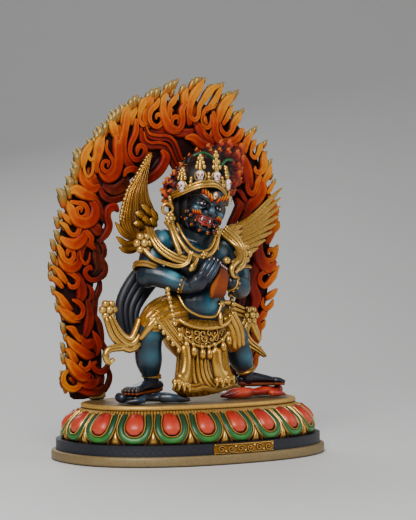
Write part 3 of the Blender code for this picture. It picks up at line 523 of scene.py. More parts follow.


# The flame aureole: strands laid over a bed painted near black, as shade in the grooves between them, in the
# band's own flat plane. Each is its heat at its start and its end, how far it stands in front of the band's
# middle, then the points of its middle line as (x, height, half width)
flames = {
    "footY": 15, "lean": 0.085, "reach": 47.4, "fat": 1.04, "deepest": 1.9, "channel": 0.34,
    "ownShare": 0.42, "legShade": 0.86, "backY": 1.55, "backRibs": (-0.62, 0, 0.62), "curlEvery": 9,
    "footBlocks": ((-27.2, 3.2), (27.4, 2.8)),  # small gold blocks that the band stands on: x, half width
}
archTop = 125.0 - baseTop
licks = [
    (0.35, 0.55, 0.6, (-23.7, 89, 1.6), (-24.2, 84.8, 1.8), (-24, 80.9, 2), (-23.8, 77.1, 2),
     (-24.8, 73.8, 2), (-27.4, 72.4, 1.8), (-29.7, 74, 1.3), (-30.6, 77.2, 1.1), (-30.4, 80.7, 1.5)),
    (0.3, 0.45, 1.4, (-28.4, 84.3, 0.6), (-28.7, 81.7, 0.7), (-27.1, 79.5, 0.7), (-25.8, 77.3, 0.8),
     (-26.5, 75, 0.9), (-28.3, 74.3, 0.8), (-29.9, 75.5, 0.8), (-29.6, 77.5, 0.7), (-27.7, 77.5, 0.7),
     (-27.7, 75.9, 0.7)),
    (0.45, 0.85, 0.8, (-31.7, 74.2, 1.1), (-32.2, 77.4, 1.5), (-31.7, 80.7, 2), (-31.1, 83.6, 2),
     (-29.7, 85.9, 1.5)),
    (0.55, 0.9, 0.8, (-24.4, 84.8, 1.1), (-25.6, 87.3, 1.6), (-26.5, 89.6, 1.6), (-26.2, 91.5, 1.1)),
    (0.25, 0.35, 0.5, (-37.2, 76.3, 1.1), (-37, 72.8, 1.5), (-35.4, 70, 1.8), (-32.8, 68.7, 1.8),
     (-30.2, 69.8, 1.6)),
    (0.2, 0.3, 0.2, (-34, 74.8, 1.8), (-33.1, 71.6, 2.2), (-30.8, 70.4, 1.8)),
    (0.75, 0.9, 1.5, (-36.7, 76, 0.5), (-36.2, 73.7, 0.5), (-35, 72.5, 0.5), (-33.6, 73.8, 0.5),
     (-33.3, 76.4, 0.5), (-33.8, 78.3, 0.6)),
    (0.8, 0.95, 1.6, (-35.5, 81.1, 0.6), (-35.4, 79.2, 0.6), (-34.2, 78, 0.6), (-33.2, 79, 0.5),
     (-33.2, 80.2, 0.4)),
    (0.6, 0.85, 0.9, (-36.7, 75.4, 1.1), (-36.8, 77.9, 1.5), (-36.1, 80.2, 1.5), (-34.8, 82.1, 1.3),
     (-33.4, 83.8, 1.1)),
    (0.1, 0.15, 0.4, (-30.1, 69.1, 1.2), (-28.5, 66.6, 1.2), (-25.8, 65.3, 1.2), (-22.8, 65.7, 1.2),
     (-19.8, 67.1, 1.1), (-17.6, 68.8, 1.1)),
    (0, 0.05, -0.3, (-28.2, 69.8, 1.8), (-24.4, 68.6, 2.2), (-20.7, 70.7, 2.2), (-20.1, 73.9, 1.8)),
    (0.55, 0.95, 1.2, (-15.2, 73.4, 1.1), (-16.5, 75, 1.1), (-18.8, 75.6, 1.2), (-20.7, 74.8, 1.1),
     (-21.3, 73.2, 1)),
    (0.3, 0.55, 0.7, (-15.8, 75, 1.1), (-18.5, 76.2, 1.3), (-20.9, 78.4, 1.5), (-22.2, 81.6, 1.5),
     (-22.1, 85.5, 1.5), (-21.5, 89.8, 1.5), (-20.9, 93.4, 1.5), (-19.5, 95.4, 1.1)),
    (0.35, 0.7, 1.3, (-17.8, 91.5, 1.2), (-17.9, 87.3, 1.2), (-19.6, 83.3, 1), (-19.5, 80.4, 0.9),
     (-17.5, 78.5, 1), (-14.8, 79.3, 0.9), (-13.8, 81.3, 1), (-14.6, 82.9, 0.9), (-16.2, 83.1, 0.9),
     (-16.9, 81.8, 0.9), (-16.8, 80.2, 0.7)),
    (0.6, 0.9, 0.9, (-19.4, 90.2, 1.2), (-19.1, 92.8, 1.2), (-18.1, 94.5, 1), (-17, 95.8, 0.5)),
    (0.6, 0.9, 0.7, (-22.7, 90, 1.1), (-22.4, 92.6, 1.2), (-21.4, 94.6, 1.3), (-19.5, 95.7, 0.9)),
    (0.85, 0.9, 1.5, (-25.6, 86.6, 0.4), (-25.1, 84.7, 0.5), (-24.2, 83.8, 0.5), (-23.3, 85.1, 0.5),
     (-23, 87.7, 0.4)),
    (0.55, 0.85, 1, (-13.8, 92.4, 0.6), (-13.7, 90.7, 0.7), (-15.2, 90, 0.8), (-16.5, 91.9, 0.8),
     (-16.2, 94.9, 1.1), (-15.2, 97.2, 1.5), (-13.7, 98.9, 0.9)),
    (0.35, 0.5, 0.6, (-13, 89.2, 1.5), (-14.3, 92.4, 1.5), (-13.7, 95.7, 1.5), (-12.3, 98.3, 1.5),
     (-11.2, 100, 0.7)),
    (0.45, 0.75, 1.3, (-9.3, 98.8, 0.8), (-10.3, 96.8, 1.1), (-12.2, 95, 1.1), (-12.8, 92.7, 0.9),
     (-11.9, 90.5, 0.9), (-9.6, 89.6, 0.9), (-7.7, 91.3, 0.8), (-8.2, 93.3, 0.8), (-9.8, 93.5, 0.8),
     (-10.1, 92.2, 0.7)),
    (0.3, 0.85, 0.8, (-0.5, 88.7, 1.8), (-4.5, 89.2, 2), (-6.7, 92.4, 1.8), (-7.6, 95.6, 1.5),
     (-7.4, 98.6, 1.3), (-5.9, 101, 0.8)),
    (0.35, 0.8, 1.1, (-4.8, 90.8, 1.1), (-5, 94.1, 1.1), (-5.1, 96.4, 1), (-3.6, 98.4, 1.2),
     (-1.8, 100.8, 0.7)),
    (0.5, 0.6, 1.3, (-4.7, 94.7, 0.5), (-4.4, 95.4, 0.7), (-3.6, 95.1, 0.6)),
    (0.3, 0.6, 1.3, (1, 97.7, 1.3), (-0.4, 95.3, 1.3), (0.1, 92.3, 1.2), (-0.5, 89.7, 1.1),
     (-2.5, 88.9, 0.9), (-4.1, 90.5, 0.9), (-3.8, 92.5, 0.9), (-2.3, 93.2, 0.9), (-1.1, 92.6, 0.8),
     (-1.4, 90.9, 0.7)),
    (0.15, 0.3, 0.3, (-11.2, 88.3, 1.5), (-7.3, 88.4, 1.6), (-3.4, 88.3, 1.6), (1.4, 88.1, 1.6),
     (5.4, 89, 1.5)),
    (0.3, 0.85, 0.9, (3.2, 91.2, 1.6), (2.6, 95.1, 1.5), (3.2, 98.5, 1.6), (4.7, 101.2, 1.8),
     (6.5, 103.6, 1.5), (8, 106, 0.9)),
    (0.35, 0.85, 0.7, (0.8, 93.7, 1.5), (1, 97.4, 1.5), (0.9, 100.3, 1.5), (1.9, 102.7, 1.2)),
    (0.2, 0.35, 0.3, (6, 91.3, 1.8), (5, 95.9, 1.5), (5.6, 98.6, 1.5)),
    (0.7, 0.9, 1.3, (2.7, 96.4, 0.6), (3.2, 93.8, 0.8), (4.9, 92.5, 0.9), (6.4, 93.9, 0.9), (6.6, 96.9, 1),
     (8.1, 99.3, 1.2), (10, 101.8, 1.5), (11.9, 103.5, 1.1), (14.7, 104.4, 0.8)),
    (0.6, 0.85, 0.9, (9.8, 95.5, 0.9), (11.3, 97.5, 1.1), (13.2, 100, 1.3), (14.7, 102.7, 1.1),
     (15.8, 104.5, 0.7)),
    (0.55, 0.75, 1.1, (14, 98.3, 0.6), (12, 97.2, 0.9), (9.2, 96.1, 0.9), (8.2, 93.7, 0.8), (8.7, 91.4, 0.8),
     (10.4, 90.1, 0.8), (11.9, 91.9, 0.8), (11.8, 94.5, 0.7)),
    (0.6, 0.8, 1.6, (9, 93.7, 0.7), (9.1, 92.4, 0.8), (10, 91.4, 0.7)),
    (0.7, 0.85, 1.3, (9.1, 90.1, 0.5), (9.2, 88.1, 0.7), (10.9, 86.8, 0.7), (12, 88.2, 0.7),
     (12.3, 90.5, 0.6)),
    (0.2, 0.4, 0.3, (6.9, 90.7, 2.2), (8.7, 87.4, 2.2), (12, 84.9, 2.2), (15.4, 83.7, 1.8)),
    (0.45, 0.3, 0.8, (12.7, 95.6, 1.1), (13.3, 92.3, 1.5), (13.5, 88.9, 1.6), (15.3, 86, 1.8),
     (19.1, 84.8, 1.8)),
    (0.45, 0.9, 1, (14.8, 92.3, 1.5), (15.4, 95.7, 1.8), (16.9, 98.5, 1.8), (18.9, 100.3, 1.6),
     (20.8, 101.7, 1)),
    (0.55, 0.85, 1.2, (16.7, 91.7, 1.1), (18.2, 94.2, 1.2), (19.3, 96.6, 1.1), (20.5, 98, 0.5)),
    (0.35, 0.85, 1.2, (15.5, 91.7, 0.7), (16.1, 89.4, 0.9), (18.2, 88.1, 0.9), (20.2, 89.5, 1),
     (20.9, 91.9, 1.4), (22.4, 94, 1.5), (23.9, 95.8, 0.9)),
    (0.3, 0.8, 0.9, (19.8, 85.1, 1.6), (23, 87.3, 1.5), (24.5, 89.4, 1.3), (25.7, 90.5, 0.7)),
    (0.3, 0.25, 0.4, (17.6, 85.8, 2.2), (21.8, 85.9, 1.8), (25.2, 84.7, 1.5)),
    (0.35, 0.9, 1.1, (14.9, 82.6, 1.5), (10.8, 83.5, 1.8), (7.5, 84.7, 1.8), (4.6, 86.6, 1.6),
     (2.2, 86.5, 1.3)),
    (0.12, 0.2, 0.8, (-13.9, 89.1, 0.9), (-12.2, 86.6, 1.1), (-8.7, 85.9, 1.1), (-5.1, 85.9, 1.1),
     (-2.7, 84.3, 1.1), (-1.3, 81.7, 1.1), (0.4, 78.8, 1.1), (2.9, 76.5, 1.1)),
    (0.7, 0.6, 1.6, (-13.8, 89.4, 0.4), (-12.5, 87.3, 0.5), (-9.2, 86.8, 0.5), (-5.3, 86.8, 0.5),
     (-2.7, 85.3, 0.5), (-1.1, 82.7, 0.5), (0.6, 79.4, 0.5), (3.2, 77.2, 0.4)),
    (0.12, 0.2, 0.7, (-15.7, 89, 1.1), (-14.8, 85.2, 1.2), (-12, 83.3, 1.2), (-8.5, 83.4, 1.1),
     (-5.7, 82.9, 1.1), (-4, 81, 1.1), (-2.7, 78.4, 1.1), (-0.1, 75.5, 1.1), (1.9, 74.2, 1.1)),
    (0.7, 0.6, 1.5, (-14.6, 87.7, 0.4), (-13.7, 85.2, 0.5), (-11.7, 84.3, 0.5), (-8.6, 84.5, 0.5),
     (-5.5, 83.8, 0.5), (-3.8, 81.9, 0.5), (-2.3, 79.3, 0.5), (-0.3, 76.7, 0.5)),
    (0.15, 0.85, 1, (-14.6, 70.8, 1.5), (-11.6, 72.5, 1.6), (-8.6, 74.5, 1.7), (-6.4, 77.2, 1.7),
     (-5.7, 79.9, 1.7), (-7, 81.8, 1.5)),
    (0, 0, -0.6, (-9.9, 74.9, 1.5), (-7, 78.3, 1.5), (-6.3, 80.3, 1.1)),
    (0.75, 0.45, 0.8, (-41.4, 67.6, 1.3), (-39.2, 68.3, 1.8), (-36.2, 67, 2), (-32.8, 66.1, 1.5),
     (-30.5, 65.5, 0.7)),
    (0.45, 0.7, 1.3, (-40.8, 64.4, 0.9), (-38.5, 64.1, 0.8), (-36.3, 63.8, 0.9), (-34.8, 62.2, 0.9),
     (-35, 60.3, 0.9), (-36.8, 59.3, 0.9), (-38.4, 60.3, 0.8), (-38.5, 62.2, 0.8), (-37, 62.5, 0.8),
     (-36.9, 61.2, 0.7)),
    (0.8, 0.4, 0.7, (-42.3, 64.4, 1.1), (-40.7, 62.2, 1.6), (-39.1, 59, 1.8), (-35.7, 57.7, 2.2),
     (-32.4, 59.1, 2.2), (-31.8, 62.6, 1.8), (-33.8, 65.2, 1.6)),
    (0.9, 0.5, 0.9, (-43.7, 60.8, 0.6), (-41.7, 58.9, 1.2), (-40.2, 57.4, 1.1)),
    (0.3, 0.2, 0.5, (-32.2, 65.5, 1.5), (-30.6, 63.3, 1.5), (-29.4, 60.7, 1.5), (-27.7, 58.2, 1.3)),
    (0.25, 0.3, 1.1, (-31.8, 64.2, 0.4), (-31, 62.9, 0.9), (-30, 61.7, 0.4)),
    (0.12, 0.2, 0.4, (-33.3, 58.1, 1.8), (-30.5, 55.5, 2.2), (-27.9, 54.9, 1.8)),
    (0.15, 0.85, 1, (-29.2, 52, 1.2), (-27.1, 54.3, 1.3), (-26.1, 56.9, 1.3), (-27, 59.8, 1.3),
     (-26.7, 62.1, 1.5), (-24.5, 63.1, 1.4), (-22.9, 61.8, 1.1)),
    (0.85, 0.7, 1.3, (-44.5, 57.9, 0.6), (-42.6, 56.7, 0.9), (-41.4, 55.1, 0.8), (-39.9, 53.8, 0.8),
     (-38.1, 54.2, 0.9), (-37.4, 55.8, 0.9), (-37.8, 56.7, 0.7)),
    (0.8, 0.4, 0.8, (-43.6, 52.8, 1.1), (-41.3, 51.3, 1.8), (-38.4, 50.9, 2.2), (-35.9, 52.9, 2),
     (-34.9, 55.8, 1.5)),
    (0.35, 0.2, 0.4, (-34, 56.8, 1.8), (-34.5, 52.9, 1.8), (-35.9, 49.7, 1.5), (-36.8, 46.4, 1.6),
     (-37.8, 43.9, 1.8)),
    (0.8, 0.85, 1.2, (-35.5, 56.1, 0.4), (-34.3, 54.5, 1), (-32.8, 52.9, 1.1), (-32.7, 51.3, 0.9),
     (-30.7, 49.4, 0.4)),
    (0.7, 0.8, 1.2, (-34.3, 53.5, 0.4), (-34.6, 51.6, 0.8), (-33, 50.3, 0.7), (-31.4, 49, 0.4)),
    (0.8, 0.7, 1.3, (-44.8, 50.3, 0.9), (-43.7, 48.4, 1.1), (-42.8, 46.4, 1), (-40.9, 45.2, 1),
     (-39.2, 46.4, 0.9), (-39.3, 48.4, 0.8), (-40.8, 49.3, 0.8), (-41.4, 48, 0.8), (-41, 47.1, 0.7)),
    (0.6, 0.3, 0.6, (-43.9, 47.1, 1.3), (-42.4, 44.5, 1.8), (-39.7, 43.2, 2), (-37.2, 44.5, 1.8),
     (-36.2, 47.1, 1.3)),
    (0.12, 0.1, 0.5, (-29.7, 52.3, 1.1), (-27.7, 50.4, 1), (-27.2, 47.8, 1), (-27.9, 46.1, 0.9),
     (-26.6, 43.8, 1), (-26.9, 41.2, 1.1), (-28.7, 39.3, 1.1)),
    (0, 0, -0.4, (-30.2, 51, 1.6), (-29.7, 47.1, 2), (-28.7, 43.2, 1.8), (-30.5, 40.6, 1.5)),
    (0.8, 0.75, 1.4, (-36.8, 49, 0.4), (-36.3, 46.4, 0.5), (-34.7, 44.5, 0.6), (-33.3, 45.8, 0.5),
     (-33, 48.1, 0.4)),
    (0.15, 0.8, 1.2, (-27.3, 41.9, 0.8), (-29.5, 39.6, 0.9), (-32.1, 39.3, 0.9), (-34, 40.6, 0.9),
     (-34.5, 42.2, 0.9), (-33, 43.5, 0.9), (-31.9, 42.6, 0.8)),
    (0.9, 0.6, 0.9, (-46.5, 43.6, 0.7), (-44.6, 42.6, 0.9), (-43.1, 40.7, 1.3), (-41.1, 38.7, 1.5)),
    (0.9, 0.6, 0.9, (-46.7, 40.4, 0.7), (-44.5, 39.1, 1), (-42.5, 37.1, 1.3)),
    (0.6, 0.8, 1.3, (-41.2, 41.9, 0.7), (-38.9, 41, 0.9), (-37, 39.4, 0.9), (-37.6, 37.4, 0.9),
     (-39.5, 37.1, 0.8), (-40.6, 38.4, 0.7)),
    (0.3, 0.2, 0.4, (-38.4, 41.9, 1.8), (-36.1, 38.7, 1.8), (-35.1, 34.8, 2), (-36.5, 31.6, 1.8)),
    (0.12, 0.1, 0.4, (-28.2, 38.6, 1.1), (-28.5, 36, 1.1), (-29.8, 33.4, 1.2), (-30, 30.2, 1.2),
     (-29.5, 26.9, 1.2)),
    (0.5, 0.3, 1, (-33.4, 38, 0.4), (-31.8, 36.1, 0.9), (-31.7, 33.8, 0.9), (-33.1, 31.9, 0.4)),
    (0.9, 0.6, 0.9, (-45, 35.6, 0.7), (-43.1, 33.9, 1.1), (-41.5, 31.7, 1.5), (-38.9, 29.7, 1.5)),
    (0.85, 0.6, 0.8, (-43.7, 31, 0.7), (-41.4, 29.1, 1.5), (-38.7, 27.1, 1.8), (-35.7, 26.4, 1.8)),
    (0.6, 0.8, 1.3, (-38.5, 32.9, 0.7), (-36.2, 31.9, 0.9), (-34.7, 29.9, 0.9), (-35.3, 27.7, 0.9),
     (-37.5, 27.1, 0.9), (-38.3, 28.7, 0.7)),
    (0.3, 0.2, 0.4, (-32.8, 32.8, 1.5), (-31.9, 28.9, 1.6), (-32, 25, 1.8), (-33, 21.1, 2)),
    (0.8, 0.75, 1.1, (-40.2, 24.2, 0.7), (-38.3, 23.5, 1.2), (-36.7, 21.5, 1), (-35.2, 19.9, 0.9),
     (-34.5, 21.2, 0.6)),
    (0.85, 0.2, 0.8, (-39.9, 21, 0.8), (-37.9, 18.6, 1.6), (-35.2, 16.6, 1.8), (-32.1, 14.9, 1.8),
     (-29.5, 14.8, 1.3)),
    (0.3, 0.25, 0.6, (-35.3, 21.2, 1.1), (-33, 18.5, 1.8), (-30, 18.4, 1.8), (-28.3, 15.8, 1.5)),
    (0.75, 0.6, 1.1, (-30.5, 22.7, 0.4), (-29.2, 20.4, 1.2), (-28, 17.7, 1.2), (-28.6, 14.8, 0.7)),
    (0.12, 0.1, 0.4, (-29.5, 27.6, 1.1), (-27.9, 24.9, 1.1), (-27, 21.6, 1.1), (-26.5, 18.6, 1),
     (-24.8, 16.3, 0.9), (-23.9, 13.6, 1)),
    (0.85, 0.6, 0.8, (-40.1, 17.1, 0.7), (-38.5, 16.1, 1.2), (-37.3, 14.1, 1.4), (-35.4, 12.4, 1.2)),
    (0.85, 0.4, 0.9, (-40, 13.8, 0.7), (-38.4, 12.2, 1.5), (-36.4, 9.8, 2), (-33.4, 7.8, 2),
     (-30.8, 8.6, 1.6)),
    (0.8, 0.75, 1.5, (-34.7, 12.7, 0.7), (-35, 11.4, 0.8), (-33.4, 10.1, 0.9), (-31.6, 11, 0.9),
     (-31.3, 12.9, 0.7)),
    (0.85, 0.15, 1.3, (-28.9, 12.5, 0.7), (-30, 11.9, 0.8), (-29.6, 10.3, 0.9), (-27.3, 9.2, 1),
     (-25, 10.1, 1.1), (-24, 12.7, 0.9)),
    (0.3, 0.3, 0.5, (-35.4, 8.8, 1.5), (-33.4, 6.1, 1.8), (-30, 5.3, 2), (-27.4, 6.5, 1.5)),
    (0.9, 0.8, 1.1, (-38.8, 10.2, 0.7), (-40.6, 9, 0.9), (-40.8, 6.8, 1), (-39.3, 4.7, 1.1), (-36.6, 4, 1.1),
     (-34.8, 5.2, 1), (-35.3, 6.9, 0.7)),
    (0.1, 0.1, 0.2, (-37.4, 7.5, 1.5), (-35.8, 5.5, 1.5)),
    (0.2, 0.15, 0.4, (-34.4, 3.8, 1.5), (-31, 3, 1.6), (-27.2, 2.9, 1.6), (-24.6, 4.4, 1.5)),
    (0.4, 0.35, 1, (-29.7, 8, 0.5), (-29.5, 5.3, 0.7), (-28, 5.6, 0.7), (-27, 7.9, 0.6)),
    (0.15, 0.12, 0.6, (-23.9, 10.3, 0.9), (-23, 7.7, 0.9), (-23.6, 5.1, 1), (-24.6, 2.8, 1.2)),
    (0.1, 0.1, -0.2, (-29.1, 11.1, 1.6), (-26.7, 7.8, 1.8), (-26.1, 3.8, 1.8)),
    (0.3, 0.35, 0.4, (24, 83.3, 1.5), (25.4, 79.9, 2.2), (27.3, 76.6, 2.5), (28.4, 73.2, 2.2),
     (30.2, 69.8, 1.8)),
    (0.6, 0.9, 0.9, (26.2, 82.7, 1.5), (26.4, 85.7, 1.6), (28, 87.8, 1.2), (29.5, 89.6, 0.9)),
    (0.6, 0.9, 1, (29, 83.4, 1.1), (29.7, 85.5, 1.2), (30.9, 86.9, 0.7)),
    (0.75, 0.9, 1.3, (28.8, 83.8, 0.5), (28.9, 81.7, 0.7), (30.6, 80.8, 0.8), (31.8, 82.5, 0.9),
     (32.5, 84.6, 1.1), (33.7, 85.6, 0.7)),
    (0.5, 0.8, 0.8, (34.2, 82.9, 1.1), (34.4, 80.2, 1.5), (34.6, 77.5, 1.5), (33, 75.7, 1.1),
     (31.2, 76.4, 0.9), (31.2, 77.7, 0.8)),
    (0.6, 0.9, 0.9, (34.8, 72.7, 1.6), (36.3, 75.1, 1.5), (37, 77.5, 1.2), (37.4, 78.9, 0.7)),
    (0.6, 0.85, 1.3, (27.7, 73.2, 0.7), (27.9, 70.1, 1), (29.7, 68.4, 1.1), (31.3, 69.8, 1), (32, 72.6, 1.1),
     (33.1, 74.7, 1.2)),
    (0.3, 0.5, 0.5, (32.4, 74.7, 1.8), (34.3, 70.6, 2.2), (32.9, 67.1, 2.2), (30.1, 64.7, 2.2),
     (27.7, 61.6, 1.8)),
    (0.7, 0.6, 1.2, (23.1, 74.4, 0.5), (24.1, 72.7, 0.7), (26.6, 72.5, 0.6)),
    (0.6, 0.9, 1.2, (34.6, 71.6, 0.5), (35.2, 69.6, 0.7), (36.9, 69.3, 0.8), (38.1, 71, 0.9),
     (39.3, 72.4, 0.7)),
    (0.55, 0.7, 1, (24, 69.7, 0.7), (25.7, 68.7, 0.9), (27.1, 66.7, 0.9), (29.3, 65, 0.6)),
    (0.2, 0.3, 0.6, (26.2, 65, 1.5), (28.9, 62.3, 1.6), (26.9, 59.5, 1.5)),
    (0.12, 0.9, 1, (20.7, 54, 1.3), (22.2, 57.7, 1.5), (24, 61.5, 1.5), (25.1, 64.3, 1.5),
     (24.1, 66.6, 1.2)),
    (0.3, 0.5, 0.6, (37.8, 67.9, 1.5), (39.3, 64.5, 1.8), (40, 60.4, 1.8), (39.4, 56.2, 1.8), (38, 52, 2.2)),
    (0.7, 0.9, 0.9, (39.3, 61, 1.1), (41, 62.5, 1.1), (41.7, 64.2, 0.7)),
    (0.7, 0.9, 0.9, (40.1, 55.5, 1.1), (41.7, 57.3, 1.1), (42.5, 59, 0.7)),
    (0.6, 0.9, 0.9, (40.2, 46.5, 1.5), (41.4, 48.9, 1.2), (42.5, 51, 0.7)),
    (0.6, 0.8, 1.3, (36, 48.2, 0.6), (37, 46.1, 0.8), (39.6, 45.8, 0.9), (41.2, 47.5, 0.9),
     (40.2, 49.3, 0.9), (38.5, 49.3, 0.9), (38.1, 47.9, 0.7)),
    (0.35, 0.3, 0.5, (34.6, 52.7, 1.8), (34, 48.6, 2.2), (35.9, 44.8, 2.4), (39, 43, 2.2),
     (41.9, 45.1, 1.6)),
    (0.6, 0.9, 0.9, (41, 40.9, 1.3), (42.2, 42.7, 1), (43.4, 43.7, 0.7)),
    (0.7, 0.85, 1.3, (39.8, 41.6, 0.8), (37.2, 41.6, 0.8), (35.2, 40.6, 1), (34.9, 38.5, 1.1),
     (36.7, 36.8, 1.1), (38.8, 37.8, 1.1), (40.8, 40.2, 1.3), (42.4, 42, 0.9)),
    (0.15, 0.3, 0.6, (24.2, 41.7, 1.1), (26.9, 39.3, 1.2), (30.3, 39.3, 1.2), (32.2, 42, 1.1),
     (32.9, 45.1, 0.9)),
    (0.3, 0.25, 0.5, (32.9, 45.1, 1.2), (33.6, 41, 1.5), (32.6, 36.8, 1.8), (34.1, 32.6, 2.2),
     (33.5, 28.5, 2.2)),
    (0.5, 0.6, 0.9, (34, 43.7, 0.7), (34.2, 41, 0.7), (32.7, 37.5, 0.8), (32.1, 33.4, 0.7)),
    (0.12, 0.1, 0.3, (28, 37.5, 1.5), (28.3, 33.4, 1.6), (27.7, 29.3, 1.6), (28.8, 25.1, 1.5)),
    (0.6, 0.9, 0.9, (38.9, 32.6, 1.5), (41, 34, 1.2), (43.1, 35.7, 0.7)),
    (0.6, 0.85, 1.2, (37, 32.6, 0.7), (36.7, 30.5, 0.9), (38.5, 28.8, 0.9), (40.6, 30.1, 0.9),
     (41.4, 31.9, 0.7)),
    (0.6, 0.85, 0.8, (35.6, 25, 1.5), (37.6, 27, 1.5), (39.2, 29.1, 1.2)),
    (0.6, 0.9, 0.9, (35.8, 21.5, 1.5), (37.4, 23.2, 1.2), (38.6, 24.9, 0.7)),
    (0.4, 0.3, 0.5, (33.5, 28.5, 2), (34.6, 24.3, 2), (34, 20.2, 1.8), (33.4, 16, 1.8), (33.2, 12.5, 1.7)),
    (0.6, 0.85, 1, (34.7, 16.3, 1.2), (35.9, 18.7, 1.2), (37, 21.1, 0.6)),
    (0.6, 0.85, 1, (34.2, 11.1, 1.3), (35.8, 13.2, 1.2), (37.4, 15.6, 0.6)),
    (0.6, 0.85, 1, (33.6, 7.7, 1.1), (35.1, 9.7, 1.1), (36.3, 12.4, 0.6)),
    (0.3, 0.25, 0.4, (33.3, 12.5, 1.8), (32.2, 9.1, 1.7), (31.1, 5.6, 1.6), (30.1, 2.2, 1.5)),
    (0.12, 0.1, 0.5, (28.6, 25.1, 1.2), (28.1, 20.3, 1.2), (27.5, 15.5, 1.2), (27, 10.6, 1.2),
     (25.5, 7.2, 1.2), (24.9, 3.1, 1.2)),
    (0.6, 0.8, 1.2, (30.9, 21.6, 0.7), (30.2, 19.6, 0.8), (32, 17.8, 0.8), (33.6, 19.1, 0.7)),
    (0.6, 0.8, 1.2, (30.1, 14, 0.7), (29.8, 12, 0.8), (31.6, 10.5, 0.8), (33.2, 11.9, 0.7)),
]
# gold knobs along the outer edge: (x, height, radius)
knobs = [
    (-43.7, 66.6, 1.6), (-42.4, 64, 0.9), (-41.5, 68.2, 1.2), (-40.9, 70.8, 1.4), (-39.1, 71.2, 1),
    (-39.6, 73.7, 1.2), (-39, 75.6, 1.3), (-38.7, 78.8, 1.4), (-37.7, 80.2, 1.2), (-35.8, 79.6, 0.9),
    (-35.2, 81.5, 1), (-34.2, 83.2, 1.2), (-32.7, 84.2, 1), (-31.7, 85.8, 1.3), (-30.6, 87.1, 1.4),
    (-28.8, 88.8, 1.2), (-27.4, 89.9, 1.1), (-26.7, 91.5, 1.2), (-25.6, 92.5, 1.3), (-24.2, 93.6, 1.2),
    (-22.7, 94.9, 1.1), (-20.9, 95.7, 0.9), (-19.4, 97, 1.2), (-17.9, 98.1, 1.2), (-16.4, 97.8, 1),
    (-13, 99.6, 1.1), (-11.5, 100.7, 1.1), (-9.6, 101.1, 1.2), (-7.6, 100.9, 0.9), (-5.8, 103, 1.1),
    (-4.3, 103.7, 1.2), (-2.7, 104.4, 1), (-2, 105.1, 0.7), (-3.4, 101.8, 0.9), (0.5, 103, 1),
    (4.4, 104.9, 1.2), (6.3, 106, 1.3), (8.7, 106, 0.8), (9.8, 102.2, 0.8), (10.9, 103.6, 1),
    (14.1, 104.1, 1), (16.1, 104.8, 0.8), (16.8, 100.9, 1), (18.8, 101.6, 1.1), (21.6, 102.1, 1),
    (22.4, 102.8, 0.7), (22, 95.4, 0.9), (24.1, 95.8, 1), (25.3, 96.9, 0.6), (27, 88.5, 1),
    (29, 89.6, 1), (30.7, 90.7, 0.8), (33.1, 85, 0.8), (35.2, 86.1, 0.8), (35.4, 82.3, 0.8),
    (36.5, 78.6, 0.8), (37.7, 79.7, 0.8), (38.8, 74.9, 0.6), (39.8, 72.8, 0.8), (-44.1, 60.8, 0.8),
    (-45.1, 58.3, 1), (-42.9, 57.3, 0.8), (-44.9, 54.1, 1), (-44.1, 52.2, 0.8), (-46.2, 51.2, 1),
    (-44.7, 49.6, 0.8), (-46, 47.1, 1), (-44.8, 45.5, 0.8), (-47.3, 44.2, 0.8), (-45.5, 43.2, 0.9),
    (-46.8, 41, 0.8), (-44.6, 39.7, 0.8), (-45.5, 36.5, 0.8), (-43.5, 33.3, 0.8), (-43.8, 31, 0.8),
    (-41.5, 28.4, 0.8), (-41.3, 24.5, 1), (-40.4, 21.6, 0.8), (-41, 18.1, 0.9), (-40.8, 14.5, 0.9),
    (-39.4, 16.1, 0.7), (-40.6, 9, 0.9), (-40.8, 6.7, 0.9), (-39.6, 4.7, 0.8),
]
# the middle line of the bed behind them: (x, height, half width)
bed = [(-31.7, 1.5, 5), (-32, 8, 6.6), (-31.9, 14, 6.6), (-32.7, 20, 6.2), (-34.6, 26, 6.2),
       (-36.4, 33, 6.4), (-36.8, 40, 7.4), (-36.4, 48, 7.4), (-35.2, 56, 7.4), (-31.7, 66.6, 8),
       (-27.5, 74.5, 8.6), (-21, 81.1, 9.4), (-12.5, 86, 10), (-2, 88.6, 10.4), (9, 88, 10.2),
       (18.5, 85, 9), (25.6, 78.6, 7.6), (30.4, 69.5, 7.2), (33.2, 59.5, 6.6), (34.4, 50, 6),
       (34.4, 42, 6.2), (34.2, 34, 6.2), (33.3, 26, 5.4), (32.4, 18, 4.8), (30.8, 9, 4.8), (28.6, 1.5, 3.8)]
bedLine = smoothPath(bed, 6)
bedOut = unit(np.gradient(bedLine[:, :2], axis=0)) @ np.array([[0, 1], [-1, 0]])


def outwards(spots):
    # how far out across the band a point lies: -1 at the inner edge of the bed, 1 at the outer
    apart = spots[:, None, [0, 2]] - bedLine[None, :, :2]
    nearest = (apart**2).sum(axis=2).argmin(axis=1)
    picked = np.arange(len(spots))
    return (apart[picked, nearest] * bedOut[nearest]).sum(axis=1) / bedLine[nearest, 2]


def lick(points, heat, forward):
    # a channelled strand: tone = low * (own share * own heat + the rest * place^1.5), where
    # place runs from the band's inner to its outer edge, and low dims the legs of the band
    points = np.asarray(points, float)
    wide = points[:, 2] * flames["fat"]
    wide[[0, -1]] *= 0.7, 0.55
    depth = np.minimum(wide * 0.9, flames["deepest"])
    spots = np.stack([points[:, 0], 0 * wide - forward - 0.5, points[:, 1]], -1)
    own = np.interp(np.arange(len(points)), (0, len(points) - 1), heat)
    made = strand(spots, wide, depth, sides=18, steps=4, square=0.75, tone=own, channel=flames["channel"])
    place = np.clip((outwards(made["verts"]) + 1) / 2.1, 0, 1) ** 1.5
    low = np.interp(made["verts"][:, 2], (45, 75), (flames["legShade"], 1.0))
    share = flames["ownShare"]
    made["tone"] = low * (share * made["tone"] + (1 - share) * (0.02 + place))
    return made
